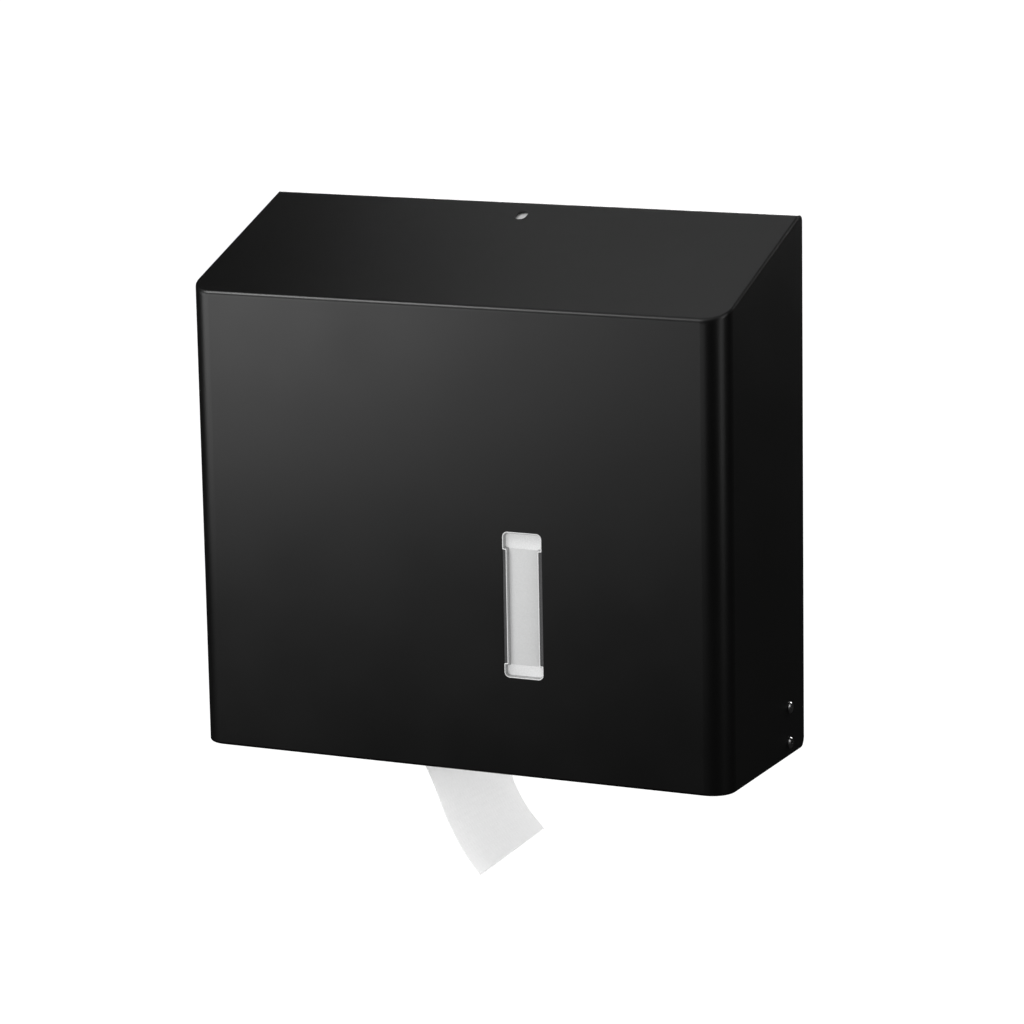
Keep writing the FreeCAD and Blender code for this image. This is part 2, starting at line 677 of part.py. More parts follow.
def hinge_bracket(word, side):
    """An ear with the pivot hole and the stop pin's arc slot, on a flange behind it."""
    body = new_body(f"bracket_{word}")
    low = f"({PIVOT_UP} - ear_foot)"
    high = f"({STOP_UP} + ear_top)"
    start = EAR_IN if side == RIGHT else f"-{EAR_OUT}"
    length = "ear_sheet + 2 * cut_spare"
    ear = sketch_on(body, "YZ_Plane")
    rectangle(ear, ("-ear_front", low), ("-plate_sheet", high))
    pad(body, ear, start, "ear_sheet")
    front = number_of("pivot_setback - ear_front") / 2 - number_of("pivot_setback")
    pivot_up = number_of(PIVOT_UP)
    round_edges(body, "ear_round",
                lambda edge: straight(edge, "X") and beyond(edge, z=pivot_up) and not beyond(edge, y=front))
    foot = sketch_on(body, "XZ_Plane")
    foot_start = f"({EAR_OUT} - foot_width)" if side == RIGHT else f"-{EAR_OUT}"
    rectangle(foot, (foot_start, low), (f"{foot_start} + foot_width", high))
    pad(body, foot, "plate_sheet", "ear_sheet")
    outer_edge = Vector(side * number_of(EAR_OUT), 0, 0)
    rear = -number_of("plate_sheet") - NEAR
    round_edges(body, "ear_sheet",
                lambda edge: straight(edge, "Z") and beyond(edge, y=rear)
                and abs(edge.CenterOfMass.x - outer_edge.x) < NEAR)
    pivot = cylinder(f"bracket_{word}_pivot", "shank_bore / 2 + pivot_fit", length,
                     f"{start} - cut_spare", "-pivot_setback", PIVOT_UP, "X")
    holes = [cylinder(f"bracket_{word}_hole_{index}", "shank_bore / 2 + rivet_fit", length,
                      across, "-(plate_sheet + ear_sheet + cut_spare)", up, "Y")
             for index, (across, up) in enumerate(rivet_places(side))]
    tools = joined(f"bracket_{word}_holes", [pivot, arc_slot(word, f"{start} - cut_spare")] + holes)
    return keep(cut(f"bracket_{word}_cut", body, tools), f"hinge_bracket_{word}")


def sector(name, radius, start):
    """The part of a disc that the stop pin sweeps, from straight up to the front."""
    disc = cylinder(name, radius, "ear_sheet + 2 * cut_spare", start, "-pivot_setback", PIVOT_UP, "X")
    disc.Placement.Rotation = FreeCAD.Rotation(Vector(0, 0, 1), Vector(0, 1, 0), Vector(1, 0, 0), "ZXY")
    bind(disc, "Angle", "swing_angle + 2 * spare_angle")
    return disc


def arc_slot(word, start):
    half = "(shank_bore / 2 + slot_fit)"
    outer = sector(f"slot_{word}_outer", f"stop_reach + {half}", start)
    inner = cylinder(f"slot_{word}_inner", f"stop_reach - {half}", "ear_sheet + 4 * cut_spare",
                     f"{start} - cut_spare", "-pivot_setback", PIVOT_UP, "X")
    band = cut(f"slot_{word}_band", outer, inner)
    ends = []
    for place, turn in (("rest", "(-spare_angle)"), ("open", "(swing_angle + spare_angle)")):
        ends.append(cylinder(f"slot_{word}_{place}", half, "ear_sheet + 2 * cut_spare", start,
                             f"-pivot_setback - stop_reach * sin({turn} * 1 deg)",
                             f"{PIVOT_UP} + stop_reach * cos({turn} * 1 deg)", "X"))
    return joined(f"slot_{word}", [band] + ends)


def rivet_places(side):
    """Where the two rivets of one hinge bracket stand, as X and Z."""
    across = f"({side} * ({EAR_IN} - foot_rivet_in))"
    low = f"({PIVOT_UP} + foot_rivet_low)"
    return [(across, low), (across, f"({low} + foot_rivet_gap)")]


def latch_places():
    """Where the latch's rivets stand, as X and Z."""
    height = f"({REAR_TOP} - (yoke_low + yoke_high) / 2)"
    across = "(lever_width / 2 - head_width / 2 - ear_side)"
    return [(f"(-{across})", height), ("0", height), (across, height)]


def flush_rivet(label, place, grip):
    """A rivet with a round head in front and a flush end against the wall."""
    body = new_body(f"{label}_body")
    bind(body, "Placement.Base.x", place[0])
    bind(body, "Placement.Base.z", place[1])
    sketch = sketch_on(body, "XY_Plane")
    front = f"(plate_sheet + {grip})"
    polygon(sketch, [
        ("0", "0"),
        ("sink_width / 2", "0"),
        ("shank_bore / 2", "-sink_depth"),
        ("shank_bore / 2", f"-{front}"),
        ("head_width / 2", f"-{front}"),
        ("head_width / 2", f"-({front} + head_rise / 3)"),
        ("head_width / 3", f"-({front} + head_rise)"),
        ("0", f"-({front} + head_rise)"),
    ])
    turned(body, sketch)
    return keep(body, label)


def sunk_hole(name, place):
    """A hole in the back plate with a cone at the rear."""
    shank = cylinder(f"{name}_shank", "shank_bore / 2 + rivet_fit", "plate_sheet + 2 * cut_spare",
                     place[0], "-(plate_sheet + cut_spare)", place[1], "Y")
    cone = doc.addObject("Part::Cone", f"{name}_cone")
    cone.Placement = FreeCAD.Placement(Vector(0, 0, 0), FreeCAD.Rotation(Vector(1, 0, 0), 90))
    bind(cone, "Radius1", "sink_width / 2 + rivet_fit")
    bind(cone, "Radius2", "shank_bore / 2 + rivet_fit")
    bind(cone, "Height", "sink_depth")
    bind(cone, "Placement.Base.x", place[0])
    bind(cone, "Placement.Base.z", place[1])
    return [shank, cone]


def back_plate():
    """The pressed plate on the wall, with a dish that stiffens the axle's seat."""
    body = new_body("plate")
    sketch = sketch_on(body, "XZ_Plane")
    rectangle(sketch, (f"-{PLATE_HALF}", f"{FLOOR} + plate_lift"), (PLATE_HALF, PLATE_TOP))
    pad(body, sketch, "0", "plate_sheet")
    round_edges(body, "plate_round", lambda edge: straight(edge, "Y"))
    dish = sketch_on(body, "XY_Plane")
    polygon(dish, [
        ("0", "-plate_sheet / 2"),
        ("dish_width / 2", "-plate_sheet / 2"),
        ("dish_width / 2", "-plate_sheet"),
        ("dish_width / 2 - dish_wall", f"-{DISH_FACE}"),
        ("0", f"-{DISH_FACE}"),
    ])
    turned(body, dish)
    hollow = sketch_on(body, "XY_Plane")
    polygon(hollow, [
        ("0", "cut_spare"),
        ("dish_width / 2 - plate_sheet", "cut_spare"),
        ("dish_width / 2 - plate_sheet", "0"),
        ("dish_width / 2 - plate_sheet - dish_wall", "-dish_rise"),
        ("0", "-dish_rise"),
    ])
    turned(body, hollow, "PartDesign::Groove")
    holes = [cylinder("stem_hole", "stem_width / 2 + rivet_fit", f"{DISH_FACE} + 2 * cut_spare",
                      "0", f"-({DISH_FACE} + cut_spare)", "0", "Y")]
    through = "plate_sheet + 2 * cut_spare"
    for word, side in SIDES:
        for level, up in (("low", -1), ("high", 1)):
            holes.append(cylinder(f"screw_hole_{word}_{level}", "screw_bore / 2", through,
                                  f"{side} * screw_across / 2", "-(plate_sheet + cut_spare)",
                                  f"{up} * screw_up / 2", "Y"))
    places = rivet_places(LEFT) + rivet_places(RIGHT) + latch_places()
    for index, place in enumerate(places):
        holes.extend(sunk_hole(f"rivet_hole_{index}", place))
    return keep(cut("plate_cut", body, joined("plate_holes", holes)), "back_plate")


# The latch: a lever under the key hole, its bracket, its pin and a leaf spring.

def latch_lever():
    body = new_body("lever")
    tilt_to_slope(body)
    strip = sketch_on(body, "YZ_Plane")
    sheet_run = "(lever_sheet / 2)"
    ramp_sheet = "(lever_sheet * sin(45))"
    polygon(strip, [
        ("lever_back", "-lever_gap"),
        ("-pad_run", "-lever_gap"),
        ("-(pad_run + joggle_run)", f"-{NOSE_DROP}"),
        (f"-{NOSE_END}", f"-{NOSE_DROP}"),
        (f"-({NOSE_END} + ramp_run)", f"-({NOSE_DROP} + ramp_run)"),
        (f"-({NOSE_END} + ramp_run - {ramp_sheet})", f"-({NOSE_DROP} + ramp_run + {ramp_sheet})"),
        (f"-({NOSE_END} - {sheet_run})", f"-({NOSE_DROP} + lever_sheet)"),
        (f"-(pad_run + joggle_run + {sheet_run})", f"-({NOSE_DROP} + lever_sheet)"),
        (f"-(pad_run + {sheet_run})", "-(lever_gap + lever_sheet)"),
        ("lever_back", "-(lever_gap + lever_sheet)"),
    ])
    pad_across(body, strip, "lever_width")
    slot = sketch_on(body, "YZ_Plane")
    rectangle(slot, (f"-{NOSE_START}", f"-({NOSE_DROP} + 2 * lever_sheet)"), (f"-{SLOT_START}", "0"))
    pocket_across(body, slot, "slot_width")
    for side in (LEFT, RIGHT):
        ear = sketch_on(body, "YZ_Plane")
        rear = "(pin_back + pin_bore)"
        low = "(pin_drop + pin_bore)"
        polygon(ear, [
            ("lever_back", "-lever_gap"),
            (rear, "-(pin_drop - pin_bore / 2)"),
            (rear, "-(pin_drop + pin_bore / 2)"),
            ("(pin_back + pin_bore / 2)", f"-{low}"),
            ("(pin_back - ear_fore)", f"-{low}"),
            ("-pad_run / 2", "-(lever_gap + lever_sheet)"),
            ("-pad_run / 2", "-lever_gap"),
        ])
        start = "lever_width / 2 - lever_sheet" if side == RIGHT else "-lever_width / 2"
        pad(body, ear, start, "lever_sheet")
    bore = sketch_on(body, "YZ_Plane")
    circle(bore, ("pin_back", "-pin_drop"), "pin_bore / 2 + pivot_fit")
    pocket_across(body, bore, "lever_width + 2 * cut_spare")
    return keep(body, "latch_lever")


def pin_place():
    """Depth and height of the lever's pin."""
    depth = f"(key_setback - hood_sheet * sin({SLANT}) - pin_back * cos({SLANT}) - pin_drop * sin({SLANT}))"
    height = (f"({REAR_TOP} - {RISE} * key_setback - hood_sheet * cos({SLANT})"
              f" + pin_back * sin({SLANT}) - pin_drop * cos({SLANT}))")
    return depth, height


def latch_bracket():
    """A yoke on the back plate, whose ears stand outside the lever."""
    body = new_body("yoke")
    depth, height = pin_place()
    ears = sketch_on(body, "YZ_Plane")
    polygon(ears, [
        ("-plate_sheet", LATCH_FOOT),
        ("-(plate_sheet + yoke_sheet * 2)", LATCH_FOOT),
        ("-yoke_reach", f"{LATCH_FOOT} + yoke_reach"),
        ("-yoke_reach", height),
        (f"-({depth} + pin_bore / 2)", f"{height} + pin_bore"),
        ("-plate_sheet", f"{height} + pin_bore"),
    ])
    pad_across(body, ears, "lever_width + 2 * ear_side + 2 * yoke_sheet")
    inside = sketch_on(body, "YZ_Plane")
    rectangle(inside, ("-(yoke_reach + cut_spare)", f"{LATCH_FOOT} - cut_spare"),
              ("-(plate_sheet + yoke_sheet)", f"{height} + pin_bore + cut_spare"))
    pocket_across(body, inside, "lever_width + 2 * ear_side")
    above = sketch_on(body, "YZ_Plane")
    rectangle(above, ("-(yoke_reach + cut_spare)", f"{REAR_TOP} - yoke_high"),
              ("cut_spare", f"{height} + pin_bore + cut_spare"))
    pocket_across(body, above, "lever_width + 2 * ear_side")
    bore = sketch_on(body, "YZ_Plane")
    circle(bore, (f"-{depth}", height), "pin_bore / 2 + rivet_fit")
    pocket_across(body, bore, "lever_width + 2 * ear_side + 2 * yoke_sheet + 2 * cut_spare")
    holes = [cylinder(f"yoke_hole_{index}", "shank_bore / 2 + rivet_fit", "yoke_sheet + 2 * cut_spare",
                      across, "-(plate_sheet + yoke_sheet + cut_spare)", up, "Y")
             for index, (across, up) in enumerate(latch_places())]
    return keep(cut("yoke_cut", body, joined("yoke_holes", holes)), "latch_bracket")


def latch_pin():
    """A plain pin with a head at each end, outside the yoke's ears."""
    body = new_body("lever_pin")
    depth, height = pin_place()
    body.Placement = FreeCAD.Placement(Vector(0, 0, 0), FreeCAD.Rotation(Vector(0, 0, 1), -90))
    bind(body, "Placement.Base.y", f"-{depth}")
    bind(body, "Placement.Base.z", height)
    sketch = sketch_on(body, "XY_Plane")
    grip = "(lever_width / 2 + ear_side + yoke_sheet)"
    polygon(sketch, [
        ("0", f"-({grip} + lever_sheet)"),
        ("pin_head / 2", f"-({grip} + lever_sheet)"),
        ("pin_head / 2", f"-{grip}"),
        ("pin_bore / 2", f"-{grip}"),
        ("pin_bore / 2", grip),
        ("pin_head / 2", grip),
        ("pin_head / 2", f"{grip} + lever_sheet"),
        ("0", f"{grip} + lever_sheet"),
    ])
    turned(body, sketch)
    return keep(body, "latch_pin")


def latch_spring():
    """A leaf that stands on the yoke's base, bows forward under the pin and lifts the pad."""
    body = new_body("leaf")
    depth, height = pin_place()
    rear = "(plate_sheet + yoke_sheet)"
    low = f"({LATCH_FOOT} + yoke_sheet)"
    bend = f"({REAR_TOP} - yoke_high)"
    tip_depth = f"(key_setback - (lever_gap + lever_sheet + leaf_play) * sin({SLANT}))"
    tip_height = (f"({REAR_TOP} - {RISE} * key_setback"
                  f" - (hood_sheet + lever_gap + lever_sheet + leaf_play + leaf_sheet) / cos({SLANT}))")
    sketch = sketch_on(body, "YZ_Plane")
    polygon(sketch, [
        (f"-{rear}", low),
        (f"-{rear}", f"{bend} - leaf_sheet"),
        (f"-{tip_depth} + 2 * leaf_sheet", f"{height} - leaf_bow"),
        (f"-{tip_depth} + leaf_sheet", tip_height),
        (f"-{tip_depth}", tip_height),
        (f"-{tip_depth} + leaf_sheet", f"{height} - leaf_bow - leaf_sheet / 2"),
        (f"-{rear} - leaf_sheet", f"{bend} - 2 * leaf_sheet"),
        (f"-{rear} - leaf_sheet", low),
    ])
    pad_across(body, sketch, "leaf_width")
    hole = latch_places()[1]
    bore = cylinder("leaf_hole", "shank_bore / 2 + rivet_fit", "leaf_sheet + 2 * cut_spare",
                    hole[0], f"-({rear} + leaf_sheet + cut_spare)", hole[1], "Y")
    return keep(cut("leaf_cut", body, bore), "latch_spring")


# The spindle, the hub and the roll.

def axle():
    body = new_body("spindle")
    sketch = sketch_on(body, "XY_Plane")
    groove = f"({BOSS_FRONT} + side_play)"
    groove_end = f"({groove} + clip_thick + 2 * clip_play)"
    polygon(sketch, [
        ("0", "-(dish_rise - upset_thick)"),
        ("upset_width / 2", "-(dish_rise - upset_thick)"),
        ("upset_width / 2", "-dish_rise"),
        ("stem_width / 2", "-dish_rise"),
        ("stem_width / 2", f"-{DISH_FACE}"),
        ("collar_width / 2", f"-{DISH_FACE}"),
        ("collar_width / 2", f"-{COLLAR_FACE}"),
        ("axle_width / 2", f"-{COLLAR_FACE}"),
        ("axle_width / 2", f"-{groove}"),
        ("axle_width / 2 - clip_bite", f"-{groove}"),
        ("axle_width / 2 - clip_bite", f"-{groove_end}"),
        ("axle_width / 2", f"-{groove_end}"),
        ("axle_width / 2", "-(axle_end - clip_bite)"),
        ("axle_width / 2 - clip_bite", "-axle_end"),
        ("0", "-axle_end"),
    ])
    turned(body, sketch)
    return keep(body, "axle")


def axle_clip():
    body = ring("clip", "axle_width / 2 - clip_bite + rivet_fit", "clip_width / 2",
                f"{BOSS_FRONT} + side_play + clip_play", "clip_thick")
    mouth = sketch_on(body, "XY_Plane")
    rectangle(mouth, ("-clip_mouth / 2", f"-({BOSS_FRONT} + clip_thick + cut_spare)"),
              ("clip_mouth / 2", f"-({BOSS_FRONT} - cut_spare)"))
    bind(mouth, "AttachmentOffset.Base.z", "-clip_width / 2")
    pocket_across(body, mouth, "clip_width")
    return keep(body, "axle_clip")


def roll_hub():
    body = new_body("hub")
    turned_part = sketch_on(body, "XY_Plane")
    flange = "(hub_wall / 2)"
    bore = "(axle_width / 2 + rivet_fit)"
    polygon(turned_part, [
        (bore, f"-{HUB_REAR}"),
        ("hub_flange / 2", f"-{HUB_REAR}"),
        ("hub_flange / 2", f"-({HUB_REAR} + {flange})"),
        ("hub_width / 2", f"-({HUB_REAR} + {flange})"),
        ("hub_width / 2", f"-({HUB_REAR} + hub_length)"),
        ("hub_width / 2 - hub_wall", f"-({HUB_REAR} + hub_length)"),
        ("hub_width / 2 - hub_wall", f"-({HUB_REAR} + {flange})"),
        ("boss_width / 2", f"-({HUB_REAR} + {flange})"),
        ("boss_width / 2", f"-{BOSS_FRONT}"),
        (bore, f"-{BOSS_FRONT}"),
    ])
    turned(body, turned_part)
    rib = sketch_on(body, "XY_Plane")
    overlap = "(hub_wall / 4)"
    rectangle(rib, (f"boss_width / 2 - {overlap}", f"-({BOSS_FRONT} - hub_wall)"),
              (f"hub_width / 2 - hub_wall + {overlap}", f"-({HUB_REAR} + {flange} / 2)"))
    rib_pad = pad_across(body, rib, "rib_thick")
    pattern = body.newObject("PartDesign::PolarPattern", "hub_ribs")
    pattern.Originals = [rib_pad]
    spin = [item for item in body.Origin.OriginFeatures if item.Role == "Y_Axis"][0]
    pattern.Axis = (spin, [""])
    pattern.Angle = 360
    bind(pattern, "Occurrences", "rib_count")
    body.Tip = pattern
    return keep(body, "roll_hub")


def paper_roll():
    inner = "(core_bore / 2 + core_wall + core_fit)"
    return keep(ring("paper", inner, "roll_width / 2", ROLL_REAR, "paper_width"), "paper_roll")


def roll_core():
    outer = "core_bore / 2 + core_wall"
    return keep(ring("core", "core_bore / 2", outer, ROLL_REAR, "paper_width"), "roll_core")


def axle_washer():
    inner = "axle_width / 2 + rivet_fit"
    return keep(ring("thrust", inner, "thrust_width / 2", COLLAR_FACE, "thrust_thick"), "axle_washer")


def bow(start, heading, turn, length):
    """An arc from a point, as three points and the heading at its end, in degrees off the vertical."""
    def ahead(share):
        swept = turn * share
        chord = length * share * (math.sin(math.radians(swept / 2)) / math.radians(swept / 2))
        angle = math.radians(heading + swept / 2)
        return start + Vector(chord * math.sin(angle), 0, -chord * math.cos(angle))
    return start, ahead(0.5), ahead(1.0), heading + turn


def tail_edge(depth, leave, ease, fall, curl, offset):
    """Two arcs that follow one edge of the hanging paper, moved sideways by its thickness."""
    angle = math.radians(leave)
    reach = number_of("roll_width / 2 + tail_clear") + offset
    start = Vector(-reach * math.cos(angle), -depth, -reach * math.sin(angle))
    first, middle, last, heading = bow(start, leave, -ease, fall + offset * math.radians(ease))
    upper = Part.Arc(first, middle, last).toShape()
    drop = number_of("tail_drop") - offset * math.radians(curl)
    first, middle, last, heading = bow(last, heading, curl, drop)
    return upper, Part.Arc(first, middle, last).toShape()


def tail_wire(depth, leave, ease, fall, curl):
    """The closed outline of the hanging paper at one depth."""
    thick = number_of("tail_thick")
    near = tail_edge(depth, leave, ease, fall, curl, 0)
    far = tail_edge(depth, leave, ease, fall, curl, thick)
    foot = Part.LineSegment(near[1].lastVertex().Point, far[1].lastVertex().Point).toShape()
    head = Part.LineSegment(far[0].firstVertex().Point, near[0].firstVertex().Point).toShape()
    return Part.Wire(Part.__sortEdges__([near[0], near[1], foot, far[1], far[0], head]))


def paper_tail():
    """The paper's hanging end, which leaves the roll at the lower left."""
    inset = number_of("tail_inset")
    rear = number_of(ROLL_REAR) + inset
    front = number_of(f"{ROLL_REAR} + paper_width") - inset
    bends = ("leave_angle", "ease_angle", "fall", "curl_angle")
    near = [number_of(f"front_{bend}") for bend in bends]
    back = [number_of(f"rear_{bend}") for bend in bends]
    piece = doc.addObject("Part::Feature", "tail")
    piece.Shape = Part.makeLoft([tail_wire(front, *near), tail_wire(rear, *back)], True, True)
    piece.Placement = FreeCAD.Placement()
    return keep(piece, "paper_tail")


def build():
    hood_shell()
    hood_catch()
    window_insert()
    window_gasket()
    for word, side in SIDES:
        side_rivet(f"hinge_pin_{word}", side, PIVOT_UP)
        side_rivet(f"stop_pin_{word}", side, STOP_UP)
        side_washer(f"pivot_washer_{word}", side, PIVOT_UP)
        side_washer(f"stop_washer_{word}", side, STOP_UP)
        hinge_bracket(word, side)
        for level, place in zip(("low", "high"), rivet_places(side)):
            flush_rivet(f"bracket_rivet_{word}_{level}", place, "ear_sheet")
    back_plate()
    latch_lever()
    latch_bracket()
    latch_pin()
    latch_spring()
    grips = ("yoke_sheet", "(yoke_sheet + leaf_sheet)", "yoke_sheet")
    for word, place, grip in zip(("left", "middle", "right"), latch_places(), grips):
        flush_rivet(f"latch_rivet_{word}", place, grip)
    axle()
    axle_washer()
    axle_clip()
    roll_hub()
    roll_core()
    paper_roll()
    paper_tail()
    doc.recompute()


def check():
    """Stops on a failed object or on a sub-part that isn't one valid solid."""
    for item in doc.Objects:
        if "Invalid" in item.State or "Error" in item.State:
            raise RuntimeError(f"{item.Name} failed: {item.State}")
    for node in nodes:
        if node.Shape.isNull() or not node.Shape.isValid():
            raise RuntimeError(f"{node.Label} has no valid shape")
        if len(node.Shape.Solids) != 1:
            raise RuntimeError(f"{node.Label} has {len(node.Shape.Solids)} solids")


def write():
    os.makedirs("parts", exist_ok=True)
    for node in nodes:
        node.Shape.exportStep(f"parts/{node.Label}.step")
        bounds = node.Shape.BoundBox
        print(f"{node.Label}: volume {node.Shape.Volume:.1f}, "
              f"x {bounds.XMin:.1f} to {bounds.XMax:.1f}, y {bounds.YMin:.1f} to {bounds.YMax:.1f}, "
              f"z {bounds.ZMin:.1f} to {bounds.ZMax:.1f}")


build()
check()
write()
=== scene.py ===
"""Looks of a wall dispenser for one jumbo roll of toilet paper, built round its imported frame."""

import math

import bmesh
import bpy
from mathutils import Matrix, Vector, noise


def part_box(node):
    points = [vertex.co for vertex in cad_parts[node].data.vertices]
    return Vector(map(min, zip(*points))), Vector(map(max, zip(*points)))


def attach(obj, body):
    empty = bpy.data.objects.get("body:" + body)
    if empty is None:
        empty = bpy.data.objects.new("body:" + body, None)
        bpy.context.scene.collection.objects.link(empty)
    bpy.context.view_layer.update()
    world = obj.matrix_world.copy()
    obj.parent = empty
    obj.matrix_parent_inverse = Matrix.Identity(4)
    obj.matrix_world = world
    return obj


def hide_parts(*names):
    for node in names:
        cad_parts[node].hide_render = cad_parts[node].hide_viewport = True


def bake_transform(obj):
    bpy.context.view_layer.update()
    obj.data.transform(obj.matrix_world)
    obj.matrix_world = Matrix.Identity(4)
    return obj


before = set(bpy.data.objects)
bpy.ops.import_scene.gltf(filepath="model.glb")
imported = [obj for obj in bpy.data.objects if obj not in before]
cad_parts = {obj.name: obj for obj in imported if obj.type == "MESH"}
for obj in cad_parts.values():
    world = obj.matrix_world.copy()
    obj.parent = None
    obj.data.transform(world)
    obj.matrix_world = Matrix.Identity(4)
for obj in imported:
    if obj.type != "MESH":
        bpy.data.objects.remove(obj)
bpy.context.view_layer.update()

bl_info = {
    "name": "Paper Dispenser",
    "version": (1, 0, 0),
    "blender": (4, 5, 0),
    "location": "3D View > Sidebar > Dispenser",
    "description": "Dresses the frame of a paper dispenser: coated steel, window, paper, latch and studio",
    "category": "Object",
}

MM = 0.001
WHITE = (1.0, 1.0, 1.0, 1.0)
FLOOR_WHITE = (0.9, 0.9, 0.9, 1.0)
BOARD_BROWN = (0.42, 0.315, 0.215, 1.0)
HUB_BLACK = (0.055, 0.056, 0.06, 1.0)
NYLON_CREAM = (0.72, 0.71, 0.66, 1.0)

# Rounding of a moulded edge, as shares of its radius: across, then down.
ROUND_OUT = ((0.0, 1.0), (0.08, 0.6), (0.3, 0.28), (0.62, 0.07), (1.0, 0.0))

# Soft boxes: name, place, width, height, radiance, and whether matt surfaces are lit too.
SOFT_BOXES = (
    ("front_left", (-0.552, -0.647, 0.109), 0.685, 0.417, 2.83, True),
    ("overhead", (-0.004, -0.056, 0.649), 0.512, 0.841, 0.39, True),
    ("behind", (-0.107, 1.257, 0.451), 1.388, 0.624, 6.90, False),
    ("right", (0.787, -0.240, 0.383), 0.288, 1.066, 1.56, True),
    ("ridge", (-0.667, -0.640, 1.028), 0.330, 0.482, 13.9, True),
    ("front", (-0.018, -0.766, 0.033), 0.364, 0.141, 1.27, True),
)
SOFT_BOX_AIM = (0.0, -0.08, 0.02)


# Properties

class CoatingLook(bpy.types.PropertyGroup):
    """The black powder coat of the hood and the back plate."""

    colour: bpy.props.FloatVectorProperty(
        name="Black", description="Colour of the powder coat", subtype="COLOR", size=4,
        default=(0.0012, 0.0012, 0.0012, 1.0), min=0.0, max=1.0)
    roughness: bpy.props.FloatProperty(
        name="Roughness", description="Satin finish of the powder coat", subtype="FACTOR",
        default=0.351, min=0.0, max=1.0)
    peel_width: bpy.props.FloatProperty(
        name="Peel width", description="Distance between the coat's soft waves", unit="LENGTH",
        default=1.6 * MM, min=0.1 * MM)
    peel_height: bpy.props.FloatProperty(
        name="Peel height", description="Height of the coat's soft waves", unit="LENGTH", precision=6,
        default=0.006 * MM, min=0.0)
    grain_width: bpy.props.FloatProperty(
        name="Grain width", description="Size of the coat's fine grains", unit="LENGTH",
        default=0.22 * MM, min=0.05 * MM)
    grain_height: bpy.props.FloatProperty(
        name="Grain height", description="Height of the coat's fine grains", unit="LENGTH", precision=6,
        default=0.0025 * MM, min=0.0)


class MetalLook(bpy.types.PropertyGroup):
    """The bare and the plated metal of the latch, the hinges and the axle."""

    zinc: bpy.props.FloatVectorProperty(
        name="Zinc", description="Colour of the plated brackets", subtype="COLOR", size=4,
        default=(0.53, 0.55, 0.57, 1.0), min=0.0, max=1.0)
    stainless: bpy.props.FloatVectorProperty(
        name="Stainless", description="Colour of the latch lever", subtype="COLOR", size=4,
        default=(0.85, 0.85, 0.84, 1.0), min=0.0, max=1.0)
    turned_steel: bpy.props.FloatVectorProperty(
        name="Turned steel", description="Colour of the axle, pins and rivets", subtype="COLOR", size=4,
        default=(0.58, 0.57, 0.56, 1.0), min=0.0, max=1.0)
    dark_nickel: bpy.props.FloatVectorProperty(
        name="Dark nickel", description="Colour of the pins in the hood's sides", subtype="COLOR", size=4,
        default=(0.42, 0.42, 0.42, 1.0), min=0.0, max=1.0)
    brush_width: bpy.props.FloatProperty(
        name="Brush width", description="Distance between the brush lines", unit="LENGTH",
        default=0.18 * MM, min=0.02 * MM)


class WindowSizes(bpy.types.PropertyGroup):
    """The milky tray in the hood's front, its seal and the blank card in it."""

    width: bpy.props.FloatProperty(
        name="Width", description="Face of the tray", unit="LENGTH", default=21.7 * MM, min=10 * MM)
    height: bpy.props.FloatProperty(
        name="Height", description="Face of the tray", unit="LENGTH", default=75.7 * MM, min=65 * MM)
    corner: bpy.props.FloatProperty(
        name="Corner", description="Corner radius of the face", unit="LENGTH",
        default=2.85 * MM, min=2 * MM)
    lap: bpy.props.FloatProperty(
        name="Lap", description="Flange behind the hood, beyond the face", unit="LENGTH",
        default=3.35 * MM, min=1 * MM)
    notch: bpy.props.FloatProperty(
        name="Notch", description="Depth of the long side notches", unit="LENGTH",
        default=1.8 * MM, min=0.5 * MM)
    notch_run: bpy.props.FloatProperty(
        name="Notch run", description="Length of the side notches", unit="LENGTH",
        default=59.0 * MM, min=20 * MM, max=64 * MM)
    notch_drop: bpy.props.FloatProperty(
        name="Notch drop", description="Middle of the notches, below the tray's middle", unit="LENGTH",
        default=1.0 * MM)
    rim: bpy.props.FloatProperty(
        name="Rim", description="Width of the rim round the basin", unit="LENGTH",
        default=0.46 * MM, min=0.44 * MM)
    draft: bpy.props.FloatProperty(
        name="Draft", description="Slope of the basin's wall, from rim to floor", unit="LENGTH",
        default=0.45 * MM, min=0.0)
    sink: bpy.props.FloatProperty(
        name="Sink", description="Depth of the basin", unit="LENGTH",
        default=1.9 * MM, min=0.5 * MM, max=2.1 * MM)
    softness: bpy.props.FloatProperty(
        name="Softness", description="Radius of the tray's moulded edges", unit="LENGTH",
        default=0.21 * MM, min=0.05 * MM, max=0.4 * MM)
    colour: bpy.props.FloatVectorProperty(
        name="Milky plastic", description="Colour of the tray", subtype="COLOR", size=4,
        default=(0.61, 0.613, 0.613, 1.0), min=0.0, max=1.0)
    # Painted shade: the basin wall is coloured darker than the tray, standing in for the shade in the basin
    # and the dark hood seen through the clear plastic.
    wall_shade_colour: bpy.props.FloatVectorProperty(
        name="Basin wall", description="Colour of the clear wall between rim and floor",
        subtype="COLOR", size=4, default=(0.29, 0.292, 0.292, 1.0), min=0.0, max=1.0)
    card_colour: bpy.props.FloatVectorProperty(
        name="Blank card", description="Colour of the card in the tray", subtype="COLOR", size=4,
        default=(0.485, 0.488, 0.488, 1.0), min=0.0, max=1.0)
    seal_colour: bpy.props.FloatVectorProperty(
        name="Seal", description="Colour of the adhesive ring", subtype="COLOR", size=4,
        default=(0.065, 0.065, 0.067, 1.0), min=0.0, max=1.0)


